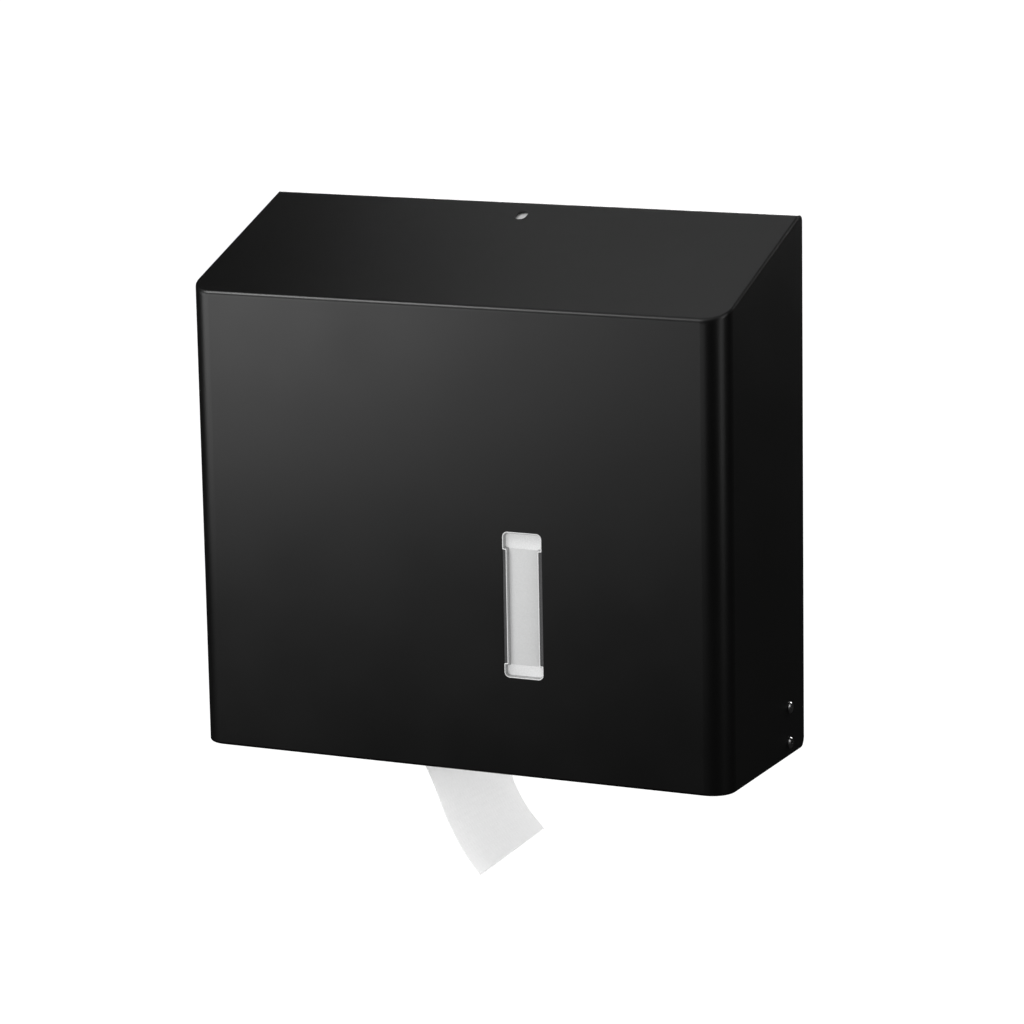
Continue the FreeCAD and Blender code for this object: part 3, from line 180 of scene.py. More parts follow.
class PaperSizes(bpy.types.PropertyGroup):
    """The roll and the sheet that hangs out of it."""

    colour: bpy.props.FloatVectorProperty(
        name="Tissue", description="Colour of the hanging sheet", subtype="COLOR", size=4,
        default=(0.90, 0.90, 0.90, 1.0), min=0.0, max=1.0)
    # Painted shade: the wound tissue is coloured darker than the hanging sheet of the same paper, to tone
    # down the stronger light that falls on the roll.
    roll_shaded_colour: bpy.props.FloatVectorProperty(
        name="Wound tissue", description="Colour of the wound layers", subtype="COLOR", size=4,
        default=(0.76, 0.76, 0.76, 1.0), min=0.0, max=1.0)
    ply: bpy.props.FloatProperty(
        name="Ply", description="Thickness of the sheet", unit="LENGTH", precision=5,
        default=0.22 * MM, min=0.1 * MM, max=0.4 * MM)
    edge_inset: bpy.props.FloatProperty(
        name="Edge inset", description="Sheet's edges, in from the roll's faces", unit="LENGTH",
        default=0.5 * MM, min=0.0)
    wrap: bpy.props.FloatProperty(
        name="Wrap", description="How far round the roll the free sheet starts, before it leaves",
        subtype="ANGLE", default=math.radians(24), min=0.0)
    front_leave: bpy.props.FloatProperty(
        name="Front leaves", description="Where the front edge leaves the roll, off the horizontal",
        subtype="ANGLE", default=math.radians(48.3))
    front_ease: bpy.props.FloatProperty(
        name="Front eases", description="Turn of the front edge inside the hood", subtype="ANGLE",
        default=math.radians(28.1))
    front_fall: bpy.props.FloatProperty(
        name="Front fall", description="Length of the front edge inside the hood", unit="LENGTH",
        default=89.6 * MM)
    front_curl: bpy.props.FloatProperty(
        name="Front curl", description="Turn of the front edge below the hood", subtype="ANGLE",
        default=math.radians(21.6))
    rear_leave: bpy.props.FloatProperty(
        name="Rear leaves", description="Where the rear edge leaves the roll, off the horizontal",
        subtype="ANGLE", default=math.radians(50.7))
    rear_ease: bpy.props.FloatProperty(
        name="Rear eases", description="Turn of the rear edge inside the hood", subtype="ANGLE",
        default=math.radians(39.7))
    rear_fall: bpy.props.FloatProperty(
        name="Rear fall", description="Length of the rear edge inside the hood", unit="LENGTH",
        default=84.4 * MM)
    rear_curl: bpy.props.FloatProperty(
        name="Rear curl", description="Turn of the rear edge below the hood", subtype="ANGLE",
        default=math.radians(38.7))
    drop: bpy.props.FloatProperty(
        name="Drop", description="Length of the sheet below the hood", unit="LENGTH", default=42.4 * MM)
    wave: bpy.props.FloatProperty(
        name="Wave", description="Height of the sheet's soft waves", unit="LENGTH",
        default=0.3 * MM, min=0.0)
    tooth: bpy.props.FloatProperty(
        name="Tooth", description="Length of the torn perforation's teeth", unit="LENGTH",
        default=0.3 * MM, min=0.0)


class StageSizes(bpy.types.PropertyGroup):
    """The floor, the lights and the camera."""

    floor_drop: bpy.props.FloatProperty(
        name="Floor drop", description="Floor, below the axle", unit="LENGTH", default=1.7, min=0.5)
    floor_radius: bpy.props.FloatProperty(
        name="Floor radius", description="Radius of the round floor", unit="LENGTH", default=30.0, min=2.0)
    floor_glow: bpy.props.FloatProperty(
        name="Floor glow", description="Light that the floor gives off, so that it stays white",
        default=0.5, min=0.0)
    camera_place: bpy.props.FloatVectorProperty(
        name="Camera", description="Place of the camera", subtype="TRANSLATION", size=3,
        default=(0.9230, -2.0021, 0.4616))
    camera_turn: bpy.props.FloatVectorProperty(
        name="Camera turn", description="Turn about Z, tilt below the horizon and roll",
        subtype="EULER", size=3, default=(math.radians(25.139), math.radians(12.052), math.radians(-1.039)))
    lens: bpy.props.FloatProperty(
        name="Lens", description="Focal length on a sensor 36 mm wide", default=149.81, min=10.0)
    backdrop: bpy.props.FloatProperty(
        name="Backdrop", description="Brightness of the white round the object", default=1.0, min=0.0)
    fill: bpy.props.FloatProperty(
        name="Fill", description="Soft light from all sides", default=0.70, min=0.0)
    reflected: bpy.props.FloatProperty(
        name="Reflected room", description="Brightness of the room in reflections", default=0.020, min=0.0)


# Meshes

def piece(name, mesh, materials, sharp=30.0):
    """An object for a finished mesh, smooth except over edges sharper than an angle in degrees."""
    made = bpy.data.objects.new(name, mesh)
    bpy.context.scene.collection.objects.link(made)
    for material in materials:
        mesh.materials.append(material)
    mesh.shade_smooth()
    mesh.set_sharp_from_angle(angle=math.radians(sharp))
    return made


def skin(name, rings, closed=False):
    """A mesh over rings with the same number of points, closed into a loop or capped at its ends."""
    form = bmesh.new()
    rows = [[form.verts.new(point) for point in ring] for ring in rings]
    count = len(rows[0])
    pairs = list(zip(rows, rows[1:]))
    if closed:
        pairs.append((rows[-1], rows[0]))
    for near, far in pairs:
        for index in range(count):
            following = (index + 1) % count
            form.faces.new((near[index], near[following], far[following], far[index]))
    if not closed:
        form.faces.new(rows[0][::-1])
        form.faces.new(rows[-1])
    bmesh.ops.recalc_face_normals(form, faces=form.faces)
    mesh = bpy.data.meshes.new(name)
    form.to_mesh(mesh)
    form.free()
    return mesh


def set_uv(mesh, places):
    """Gives each corner of a mesh the flat place of its vertex."""
    layer = mesh.uv_layers.new(name="flat")
    for loop in mesh.loops:
        layer.data[loop.index].uv = places[loop.vertex_index]


def applied(made):
    """The object with its modifiers made part of its mesh."""
    graph = bpy.context.evaluated_depsgraph_get()
    mesh = bpy.data.meshes.new_from_object(made.evaluated_get(graph))
    made.modifiers.clear()
    old = made.data
    made.data = mesh
    mesh.name = made.name
    bpy.data.meshes.remove(old)
    return made


# Materials

def add_node(tree, kind, inputs=None, **settings):
    """A shader node with its settings made and its inputs set or linked."""
    node = tree.nodes.new(kind)
    for name, value in settings.items():
        setattr(node, name, value)
    for key, value in (inputs or {}).items():
        if isinstance(value, bpy.types.NodeSocket):
            tree.links.new(value, node.inputs[key])
        else:
            node.inputs[key].default_value = value
    return node


def new_finish(name):
    """A material with its node tree, its shader and the object's own coordinates."""
    material = bpy.data.materials.new(name)
    material.use_nodes = True
    tree = material.node_tree
    return material, tree, tree.nodes["Principled BSDF"], add_node(tree, "ShaderNodeTexCoord")


def grain(tree, place, width, stretch=(1, 1, 1), detail=2.0, rough=0.5):
    """Noise with grains of a width in metres, longer where stretch is more than one."""
    scaled = add_node(tree, "ShaderNodeMapping", {"Vector": place, "Scale": [1 / part for part in stretch]})
    made = add_node(tree, "ShaderNodeTexNoise", {
        "Vector": scaled.outputs["Vector"], "Scale": 1 / width, "Detail": detail, "Roughness": rough})
    return made.outputs["Fac"]


def ranged(tree, value, low, high, start=0.3, end=0.7):
    """A value spread between two limits."""
    made = add_node(tree, "ShaderNodeMapRange", {
        "Value": value, "From Min": start, "From Max": end, "To Min": low, "To Max": high})
    return made.outputs["Result"]


def tinted(tree, value, colour, dark):
    """A colour that varies between a dark share of itself and the whole of it."""
    ramp = add_node(tree, "ShaderNodeValToRGB", {"Fac": value})
    for stop, place, share in zip(ramp.color_ramp.elements, (0.3, 0.7), (dark, 1.0)):
        stop.position = place
        stop.color = [part * share for part in colour[:3]] + [1.0]
    return ramp.outputs["Color"]


def relief(tree, shader, *heights):
    """Bumps one over the other, each a value and its height in metres."""
    normal = None
    for value, height in heights:
        inputs = {"Height": value, "Distance": height, "Strength": 1.0}
        if normal:
            inputs["Normal"] = normal
        normal = add_node(tree, "ShaderNodeBump", inputs).outputs["Normal"]
    tree.links.new(normal, shader.inputs["Normal"])


def powder_coat(name, look, roughness):
    """Satin powder coat: soft waves, fine grains and a roughness that drifts."""
    material, tree, shader, coordinates = new_finish(name)
    place = coordinates.outputs["Object"]
    drift = grain(tree, place, 45 * MM)
    shader.inputs["Base Color"].default_value = look.colour
    shader.inputs["Specular IOR Level"].default_value = 0.5
    tree.links.new(ranged(tree, drift, roughness - 0.02, roughness + 0.02), shader.inputs["Roughness"])
    relief(tree, shader,
           (grain(tree, place, look.peel_width), look.peel_height),
           (grain(tree, place, look.grain_width, detail=1.0), look.grain_height))
    return material


def plated(name, colour):
    """Zinc plating with cloudy patches and fine rolling lines."""
    material, tree, shader, coordinates = new_finish(name)
    place = coordinates.outputs["Object"]
    cloud = grain(tree, place, 9 * MM, detail=4.0)
    lines = grain(tree, place, 0.25 * MM, stretch=(1, 30, 30))
    tree.links.new(tinted(tree, cloud, colour, 0.82), shader.inputs["Base Color"])
    tree.links.new(ranged(tree, cloud, 0.30, 0.46), shader.inputs["Roughness"])
    shader.inputs["Metallic"].default_value = 1.0
    relief(tree, shader, (lines, 0.002 * MM), (cloud, 0.01 * MM))
    return material


def brushed(name, colour, width, stretch, roughness=0.34, metallic=1.0):
    """Brushed metal with long lines along one axis."""
    material, tree, shader, coordinates = new_finish(name)
    place = coordinates.outputs["Object"]
    lines = grain(tree, place, width, stretch=stretch, detail=3.0)
    cloud = grain(tree, place, 6 * MM)
    tree.links.new(tinted(tree, lines, colour, 0.85), shader.inputs["Base Color"])
    tree.links.new(ranged(tree, cloud, roughness - 0.06, roughness + 0.06), shader.inputs["Roughness"])
    shader.inputs["Metallic"].default_value = metallic
    relief(tree, shader, (lines, 0.004 * MM))
    return material


def turned(name, colour, axis):
    """Turned or drawn steel, with fine rings about one axis."""
    material, tree, shader, coordinates = new_finish(name)
    place = coordinates.outputs["Object"]
    stretch = [60 if direction != axis else 1 for direction in "XYZ"]
    rings = grain(tree, place, 0.15 * MM, stretch=stretch)
    cloud = grain(tree, place, 3 * MM)
    tree.links.new(tinted(tree, cloud, colour, 0.88), shader.inputs["Base Color"])
    tree.links.new(ranged(tree, rings, 0.2, 0.34), shader.inputs["Roughness"])
    shader.inputs["Metallic"].default_value = 1.0
    relief(tree, shader, (rings, 0.003 * MM))
    return material


def moulded(name, colour, roughness, texture=0.02 * MM):
    """Moulded plastic with the fine texture of its mould."""
    material, tree, shader, coordinates = new_finish(name)
    place = coordinates.outputs["Object"]
    fine = grain(tree, place, 0.4 * MM)
    cloud = grain(tree, place, 20 * MM)
    tree.links.new(tinted(tree, cloud, colour, 0.93), shader.inputs["Base Color"])
    tree.links.new(ranged(tree, fine, roughness - 0.05, roughness + 0.05), shader.inputs["Roughness"])
    relief(tree, shader, (fine, texture))
    return material


def milky(name, colour):
    """Frosted clear plastic that lets some light in."""
    material, tree, shader, coordinates = new_finish(name)
    place = coordinates.outputs["Object"]
    frost = grain(tree, place, 0.5 * MM, detail=3.0)
    tree.links.new(tinted(tree, frost, colour, 0.94), shader.inputs["Base Color"])
    tree.links.new(ranged(tree, frost, 0.22, 0.32), shader.inputs["Roughness"])
    shader.inputs["IOR"].default_value = 1.49
    shader.inputs["Subsurface Weight"].default_value = 0.25
    shader.inputs["Subsurface Radius"].default_value = (1.0, 1.0, 1.0)
    shader.inputs["Subsurface Scale"].default_value = 0.8 * MM
    relief(tree, shader, (frost, 0.006 * MM))
    return material


def card_stock(name, colour):
    """Smooth coated card with a fine speckle."""
    material, tree, shader, coordinates = new_finish(name)
    place = coordinates.outputs["Object"]
    speckle = grain(tree, place, 0.7 * MM, detail=4.0, rough=0.7)
    tree.links.new(tinted(tree, speckle, colour, 0.89), shader.inputs["Base Color"])
    shader.inputs["Roughness"].default_value = 0.5
    relief(tree, shader, (speckle, 0.004 * MM))
    return material


def foam(name, colour):
    """Closed-cell foam of the adhesive ring."""
    material, tree, shader, coordinates = new_finish(name)
    cells = add_node(tree, "ShaderNodeTexVoronoi", {
        "Vector": coordinates.outputs["Object"], "Scale": 1 / (0.5 * MM)})
    depth = cells.outputs["Distance"]
    tree.links.new(tinted(tree, depth, colour, 0.7), shader.inputs["Base Color"])
    shader.inputs["Roughness"].default_value = 0.75
    relief(tree, shader, (depth, 0.03 * MM))
    return material


def tissue(name, colour, weight=0.7, depth=0.5 * MM):
    """Soft two-ply tissue: fine crepe lines across the sheet and a quilting of shallow dots."""
    material, tree, shader, coordinates = new_finish(name)
    flat = coordinates.outputs["UV"]
    crepe = grain(tree, flat, 0.35 * MM, stretch=(14, 1, 1), detail=3.0, rough=0.6)
    fibre = grain(tree, flat, 2.2 * MM, stretch=(1, 2, 1), detail=5.0, rough=0.65)
    dots = add_node(tree, "ShaderNodeTexVoronoi", {
        "Vector": flat, "Scale": 1 / (3.2 * MM), "Randomness": 0.0})
    quilt = ranged(tree, dots.outputs["Distance"], 0.0, 1.0, start=0.12, end=0.4)
    tree.links.new(tinted(tree, fibre, colour, 0.965), shader.inputs["Base Color"])
    shader.inputs["Roughness"].default_value = 0.92
    shader.inputs["Specular IOR Level"].default_value = 0.2
    shader.inputs["Sheen Weight"].default_value = 0.15
    shader.inputs["Subsurface Weight"].default_value = weight
    shader.inputs["Subsurface Radius"].default_value = (1.0, 1.0, 1.0)
    shader.inputs["Subsurface Scale"].default_value = depth
    relief(tree, shader, (crepe, 0.035 * MM), (quilt, 0.03 * MM), (fibre, 0.05 * MM))
    return material


def wound_edges(name, colour):
    """The cut edges of the wound layers, as fine rings about the axle."""
    material, tree, shader, coordinates = new_finish(name)
    flat = add_node(tree, "ShaderNodeVectorMath", {0: coordinates.outputs["Object"], 1: (1.0, 0.0, 1.0)},
                    operation="MULTIPLY")
    radius = add_node(tree, "ShaderNodeVectorMath", {0: flat.outputs["Vector"]}, operation="LENGTH")
    layers = add_node(tree, "ShaderNodeTexNoise", {
        "W": radius.outputs["Value"], "Scale": 1 / (0.45 * MM), "Detail": 5.0, "Roughness": 0.7},
        noise_dimensions="1D")
    fluff = grain(tree, coordinates.outputs["Object"], 0.6 * MM, detail=4.0)
    tree.links.new(tinted(tree, layers.outputs["Fac"], colour, 0.86), shader.inputs["Base Color"])
    shader.inputs["Roughness"].default_value = 0.95
    shader.inputs["Specular IOR Level"].default_value = 0.2
    shader.inputs["Sheen Weight"].default_value = 0.2
    relief(tree, shader, (layers.outputs["Fac"], 0.16 * MM), (fluff, 0.06 * MM))
    return material


def cardboard(name):
    """Grey-brown spiral-wound board with long fibres."""
    material, tree, shader, coordinates = new_finish(name)
    place = coordinates.outputs["Object"]
    fibre = grain(tree, place, 0.6 * MM, stretch=(1, 6, 1), detail=5.0, rough=0.7)
    speck = grain(tree, place, 2.5 * MM, detail=4.0)
    tree.links.new(tinted(tree, speck, BOARD_BROWN, 0.8), shader.inputs["Base Color"])
    shader.inputs["Roughness"].default_value = 0.88
    relief(tree, shader, (fibre, 0.05 * MM))
    return material


def dress(names, material):
    """Gives frame nodes their finish."""
    for name in names:
        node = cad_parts[name]
        for place in node.material_slots:
            place.material = material


def nodes_like(*starts):
    """The frame's nodes whose names start so."""
    return [name for name in sorted(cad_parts) if name.startswith(starts)]


# Window

def tray_outline(sizes, inset, notch, depth):
    """One ring of the tray at a depth: a round-cornered face, pulled in along its two long sides."""
    half_wide = sizes.width / 2 - inset
    half_tall = sizes.height / 2 - inset
    corner = max(sizes.corner - inset, 0.3 * MM)
    soft = 0.45 * MM
    turn_up = sizes.notch_run / 2 - sizes.notch_drop + inset
    turn_down = -sizes.notch_run / 2 - sizes.notch_drop - inset
    step = min(soft, notch / 2)
    spread = soft * (1 - min(1.0, notch / sizes.notch)) / 3
    side = []
    for turn, up in ((turn_down, -1), (turn_up, 1)):
        into = [
            (half_wide, turn + up * soft),
            (half_wide - 0.3 * step, turn + up * (0.3 * soft + spread)),
            (half_wide - step, turn + up * spread),
            (half_wide - notch + step, turn - up * spread),
            (half_wide - notch + 0.3 * step, turn - up * (0.3 * soft + spread)),
            (half_wide - notch, turn - up * soft),
        ]
        side.extend(into if up < 0 else into[::-1])
    steps = 6
    turns = [math.radians(90 * index / steps) for index in range(steps + 1)]
    low = [(half_wide - corner + corner * math.sin(turn), -half_tall + corner - corner * math.cos(turn))
           for turn in turns]
    high = [(half_wide - corner + corner * math.cos(turn), half_tall - corner + corner * math.sin(turn))
            for turn in turns]
    right = low + side + high
    left = [(-across, up) for across, up in reversed(right)]
    middle = window_middle()
    return [Vector((middle.x + across, depth, middle.z + up)) for across, up in right + left]


def window_middle():
    """The middle of the window's insert."""
    low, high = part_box("window_insert")
    return (low + high) / 2


def window_tray(sizes):
    """The tray with its flange, its rounded rim and its basin."""
    low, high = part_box("window_insert")
    front = low.y
    seal_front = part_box("window_gasket")[0].y
    flange_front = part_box("window_gasket")[1].y
    soft = sizes.softness
    notch = sizes.notch
    rim = sizes.rim

    def at(inset, depth, cut=notch):
        return tray_outline(sizes, inset, cut, depth)

    flange = [
        at(-sizes.lap + soft, high.y, 0.0),
        at(-sizes.lap, high.y - soft, 0.0),
        at(-sizes.lap, flange_front + soft, 0.0),
        at(-sizes.lap + soft, flange_front, 0.0),
        at(0.0, flange_front),
        at(0.0, seal_front),
    ]
    rim_face = [at(across * soft, front + down * soft) for across, down in ROUND_OUT] + [
        at(rim - soft, front),
        at(rim - 0.6 * soft, front + 0.08 * soft),
        at(rim - 0.28 * soft, front + 0.3 * soft),
    ]
    wall = [
        at(rim, front + 0.7 * soft),
        at(rim + 0.05 * sizes.draft, front + 1.4 * soft),
        at(rim + sizes.draft, front + sizes.sink - 0.9 * soft),
        at(rim + sizes.draft + 0.25 * soft, front + sizes.sink - 0.3 * soft),
        at(rim + sizes.draft + 0.9 * soft, front + sizes.sink),
    ]
    mesh = skin("window_tray", flange + rim_face + wall)
    made = piece("window_tray", mesh, [
        milky("milky_plastic", sizes.colour), milky("clear_wall_painted_shade", sizes.wall_shade_colour)])
    # The basin's wall faces take the darker second material, which paints shade on them.
    around = len(wall[0])
    wall_start = len(flange + rim_face) * around
    for face in mesh.polygons[wall_start:wall_start + (len(wall) - 1) * around]:
        face.material_index = 1
    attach(made, "hood")
    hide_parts("window_insert")
    return made


def window_card(sizes):
    """The blank card that lies in the basin between the side notches."""
    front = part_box("window_insert")[0].y + sizes.sink
    middle = window_middle()
    thick = 0.15 * MM
    side_gap = 0.15 * MM
    past_notch = 0.5 * MM
    buried = 0.05 * MM
    half_wide = sizes.width / 2 - sizes.notch - sizes.rim - sizes.draft - side_gap
    top = sizes.notch_run / 2 - sizes.notch_drop + past_notch
    bottom = -sizes.notch_run / 2 - sizes.notch_drop - past_notch
    corner = 0.8 * MM
    steps = 4

    def ring(inset, depth):
        points = []
        for across, up, start in ((1, top, 0), (-1, top, 90), (-1, bottom, 180), (1, bottom, 270)):
            centre = Vector((across * (half_wide - corner), 0, up - math.copysign(corner, up)))
            for index in range(steps + 1):
                turn = math.radians(start + 90 * index / steps)
                reach = corner - inset
                points.append(Vector((middle.x, depth, middle.z)) + centre
                              + Vector((reach * math.cos(turn), 0, reach * math.sin(turn))))
        return points

    rings = [ring(0.0, front + buried), ring(0.0, front - 0.6 * thick),
             ring(0.03 * MM, front - 0.9 * thick), ring(0.08 * MM, front - thick)]
    made = piece("window_card", skin("window_card", rings), [card_stock("blank_card", sizes.card_colour)])
    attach(made, "hood")
    return made


def window_seal(sizes):
    """The adhesive ring between the tray's flange and the hood, which swells into the side notches."""
    low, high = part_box("window_gasket")
    bulge = 0.12 * MM
    swell = 0.55 * MM
    inner = -0.05 * MM

    def at(inset, depth, cut):
        return tray_outline(sizes, inset, cut, depth)

    rings = [
        at(-sizes.lap + bulge, high.y, 0.0),
        at(-sizes.lap, (low.y + high.y) / 2, 0.0),
        at(-sizes.lap + bulge, low.y, 0.0),
        at(2 * inner, low.y, 0.0),
        at(2 * inner, low.y - swell, 0.0),
        at(inner, low.y - swell, sizes.notch),
        at(inner, (low.y + high.y) / 2, sizes.notch),
        at(inner - bulge, high.y, sizes.notch),
    ]
    made = piece("window_seal", skin("window_seal", rings, closed=True), [
        foam("seal_foam", sizes.seal_colour)])
    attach(made, "hood")
    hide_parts("window_gasket")
    return made


# Paper

# The roll's cut faces: how often they vary per metre of radius, and how deep in millimetres.
LAYERS_PER_M, LAYER_DEPTH = 900, 0.16
BANDS_PER_M, BAND_DEPTH = 160, 0.3
LEANS_PER_M, LEAN_DEPTH = 45, 0.2
# The roll's outside: dents round it and along it.
DENTS_ROUND = 2.2
DENTS_PER_M = 60

CORE_GAP = 0.05 * MM
SHEET_LIFT = 0.3 * MM
SHEET_SETTLE = 0.75 * MM
SHEET_LOOSENS = 40 * MM


def about_axle(radius, turn, depth):
    """A point at a radius and a turn about the axle, at a depth."""
    return Vector((radius * math.cos(turn), depth, radius * math.sin(turn)))


def patches(place):
    """Smooth noise between 0 and 1 at a place."""
    return 0.5 + 0.5 * noise.noise(Vector(place))


def unevenness(radius, turn, seed):
    """How far the wound layers stand back from the roll's cut face, in metres."""
    layer = patches((radius * LAYERS_PER_M, seed, 0.0))
    band = patches((radius * BANDS_PER_M, seed + 7.3, 0.6 * math.cos(turn)))
    lean = patches((1.4 * math.cos(turn), 1.4 * math.sin(turn), radius * LEANS_PER_M + seed))
    return (LAYER_DEPTH * layer + BAND_DEPTH * band + LEAN_DEPTH * lean) * MM


def wound_paper(sizes):
    """The roll: wound layers that stand a little uneven at both faces, and a soft outer sheet."""
    low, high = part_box("paper_roll")
    outer = high.x
    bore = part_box("roll_core")[1].x + CORE_GAP
    steps = 168
    layers = 46
    across = 16
    soft = 0.5 * MM
    dent = 0.22 * MM
    turns = [2 * math.pi * index / steps for index in range(steps)]
    radii = [bore + (outer - soft - bore) * index / layers for index in range(layers + 1)]
    rings = []
    for radius in radii:
        rings.append([about_axle(radius, turn, low.y + unevenness(radius, turn, 1.7)) for turn in turns])
    front_edge = low.y + soft
    rear_edge = high.y - soft
    for index in range(across + 1):
        depth = front_edge + (rear_edge - front_edge) * index / across
        dents = [dent * patches(about_axle(DENTS_ROUND, turn, depth * DENTS_PER_M)) for turn in turns]
        rings.append([about_axle(outer - sunk, turn, depth) for sunk, turn in zip(dents, turns)])
    for radius in reversed(radii):
        rings.append([about_axle(radius, turn, high.y - unevenness(radius, turn, 5.1)) for turn in turns])
    mesh = skin("wound_paper", rings, closed=True)
    # The roll's tissue and cut faces take this darker colour: painted shade against the light on the roll.
    colour = sizes.roll_shaded_colour
    made = piece("wound_paper", mesh, [
        tissue("tissue_roll_painted_shade", colour), wound_edges("wound_layers_painted_shade", colour)], sharp=60.0)
    set_uv(mesh, [(vertex.co.y, math.atan2(vertex.co.z, vertex.co.x) * outer) for vertex in mesh.vertices])
    for face in mesh.polygons:
        face.material_index = 1 if abs(face.normal.y) > 0.7 else 0
    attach(made, "roll")
    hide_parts("paper_roll")
    return made


def bow(start, heading, turn, length, share):
    """A point on an arc, and the heading there, both measured off the vertical."""
    swept = turn * share
    run = length * share
    chord = run * (math.sin(swept / 2) / (swept / 2) if abs(swept) > 1e-6 else 1.0)
    angle = heading + swept / 2
    return start + Vector((chord * math.sin(angle), 0, -chord * math.cos(angle))), heading + swept


def edge_point(sizes, outer, side, along):
    """A point on the sheet at a length from where it leaves the roll, as one edge or between both."""
    leave = sizes.front_leave + (sizes.rear_leave - sizes.front_leave) * side
    ease = sizes.front_ease + (sizes.rear_ease - sizes.front_ease) * side
    fall = sizes.front_fall + (sizes.rear_fall - sizes.front_fall) * side
    curl = sizes.front_curl + (sizes.rear_curl - sizes.front_curl) * side
    reach = outer + SHEET_LIFT
    if along < 0:
        angle = leave + along / reach
        settled = min(1.0, -along / (sizes.wrap * reach))
        sunk = reach - SHEET_SETTLE * settled * settled
        return Vector((-sunk * math.cos(angle), 0, -sunk * math.sin(angle)))
    start = Vector((-reach * math.cos(leave), 0, -reach * math.sin(leave)))
    if along <= fall:
        return bow(start, leave, -ease, fall, along / fall)[0]
    low, heading = bow(start, leave, -ease, fall, 1.0)
    return bow(low, heading, curl, sizes.drop, (along - fall) / sizes.drop)[0]


def paper_sheet(sizes):
    """The loose end of the roll, from where it comes off to its torn perforation."""
    low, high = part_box("paper_roll")
    outer = high.x
    front = low.y + sizes.edge_inset
    rear = high.y - sizes.edge_inset
    columns = 92
    rows = 150
    form = bmesh.new()
    flat = []
    grid = []
    for column in range(columns + 1):
        side = column / columns
        depth = front + (rear - front) * side
        fall = sizes.front_fall + (sizes.rear_fall - sizes.front_fall) * side
        start = -sizes.wrap * (outer + SHEET_LIFT)
        tooth = sizes.tooth * (0.5 + 0.5 * math.cos(math.pi * column)) * (0.6 + 0.4 * noise.noise(
            Vector((column * 0.37, 3.1, 0.0))))
        end = fall + sizes.drop - tooth
        line = []
        for row in range(rows + 1):
            along = start + (end - start) * row / rows
            point = edge_point(sizes, outer, side, along)
            ahead = edge_point(sizes, outer, side, along + 0.5 * MM) - point
            square = Vector((-ahead.z, 0, ahead.x)).normalized()
            loose = max(0.0, min(1.0, along / SHEET_LOOSENS))
            broad = noise.noise(Vector((depth * 24, along * 15, 2.0)))
            fine = noise.noise(Vector((depth * 70, along * 45, 5.0)))
            ripple = broad + 0.35 * fine
            line.append(form.verts.new(
                Vector((point.x, depth, point.z)) + square * sizes.wave * loose * ripple))
            flat.append((depth, along))
        grid.append(line)
    for near, far in zip(grid, grid[1:]):
        for row in range(rows):
            form.faces.new((near[row], near[row + 1], far[row + 1], far[row]))
    mesh = bpy.data.meshes.new("paper_sheet")
    form.to_mesh(mesh)
    form.free()
    set_uv(mesh, flat)
    made = piece("paper_sheet", mesh, [
        tissue("tissue_sheet", sizes.colour, weight=0.95, depth=1.5 * MM)], sharp=180.0)
    thick = made.modifiers.new("ply", "SOLIDIFY")
    thick.thickness = sizes.ply
    thick.offset = 0.0
    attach(made, "back")
    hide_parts("paper_tail")
    return made


def core_tube():
    """The spiral-wound tube, with the helical joints of its plies and softened ends."""
    low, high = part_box("roll_core")
    outer = high.x
    bore = outer - 1.5 * MM
    steps = 120
    rows = 76
    pitch = 74 * MM
    seam_deep = 0.14 * MM
    seam_wide = 1.3 * MM
    worn_end = 0.25 * MM
    turns = [2 * math.pi * index / steps for index in range(steps)]

    def seam(turn, depth):
        """Depth of the joint between two plies, which climbs round the tube."""
        off = ((depth / pitch + turn / (2 * math.pi)) % 1.0) * pitch
        near = min(off, pitch - off)
        return seam_deep * max(0.0, 1 - near / seam_wide)

    inside = []
    outside = []
    for index in range(rows + 1):
        depth = low.y + (high.y - low.y) * index / rows
        flare = worn_end if index in (0, rows) else 0.0
        inside.append([about_axle(bore + seam(turn, depth) + flare, turn, depth) for turn in turns])
        outside.append([about_axle(outer - seam(turn, depth) - flare, turn, depth) for turn in turns])
    mesh = skin("core_tube", inside + outside[::-1], closed=True)
    made = piece("core_tube", mesh, [cardboard("core_board")], sharp=50.0)
    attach(made, "roll")
    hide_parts("roll_core")
    return made


# Latch spring

LEAF = 0.4 * MM
# The foot as distances before the rear face and above the lower end, the tip as distances behind the
# front end and below the top, in millimetres.
LEAF_FOOT = ((0.0, 0.0), (0.0, 4.9), (0.0, 10.1), (0.0, 14.6), (0.9, 16.5))
LEAF_TIP = ((1.9, 4.0), (0.3, 3.2), (0.3, 1.4), (0.6, 0.3))
LEAF_WIDTHS = (0.82, 1.0, 1.0, 1.0, 1.0, 1.0, 0.97, 0.88, 0.7)


def leaf_line():
    """The leaf's centre line from its foot to its tip, as depths and heights."""
    low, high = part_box("latch_spring")
    foot = high.y - LEAF / 2
    return [(foot - back * MM, low.z + rise * MM) for back, rise in LEAF_FOOT] + [
        (low.y + back * MM, high.z - drop * MM) for back, drop in LEAF_TIP]


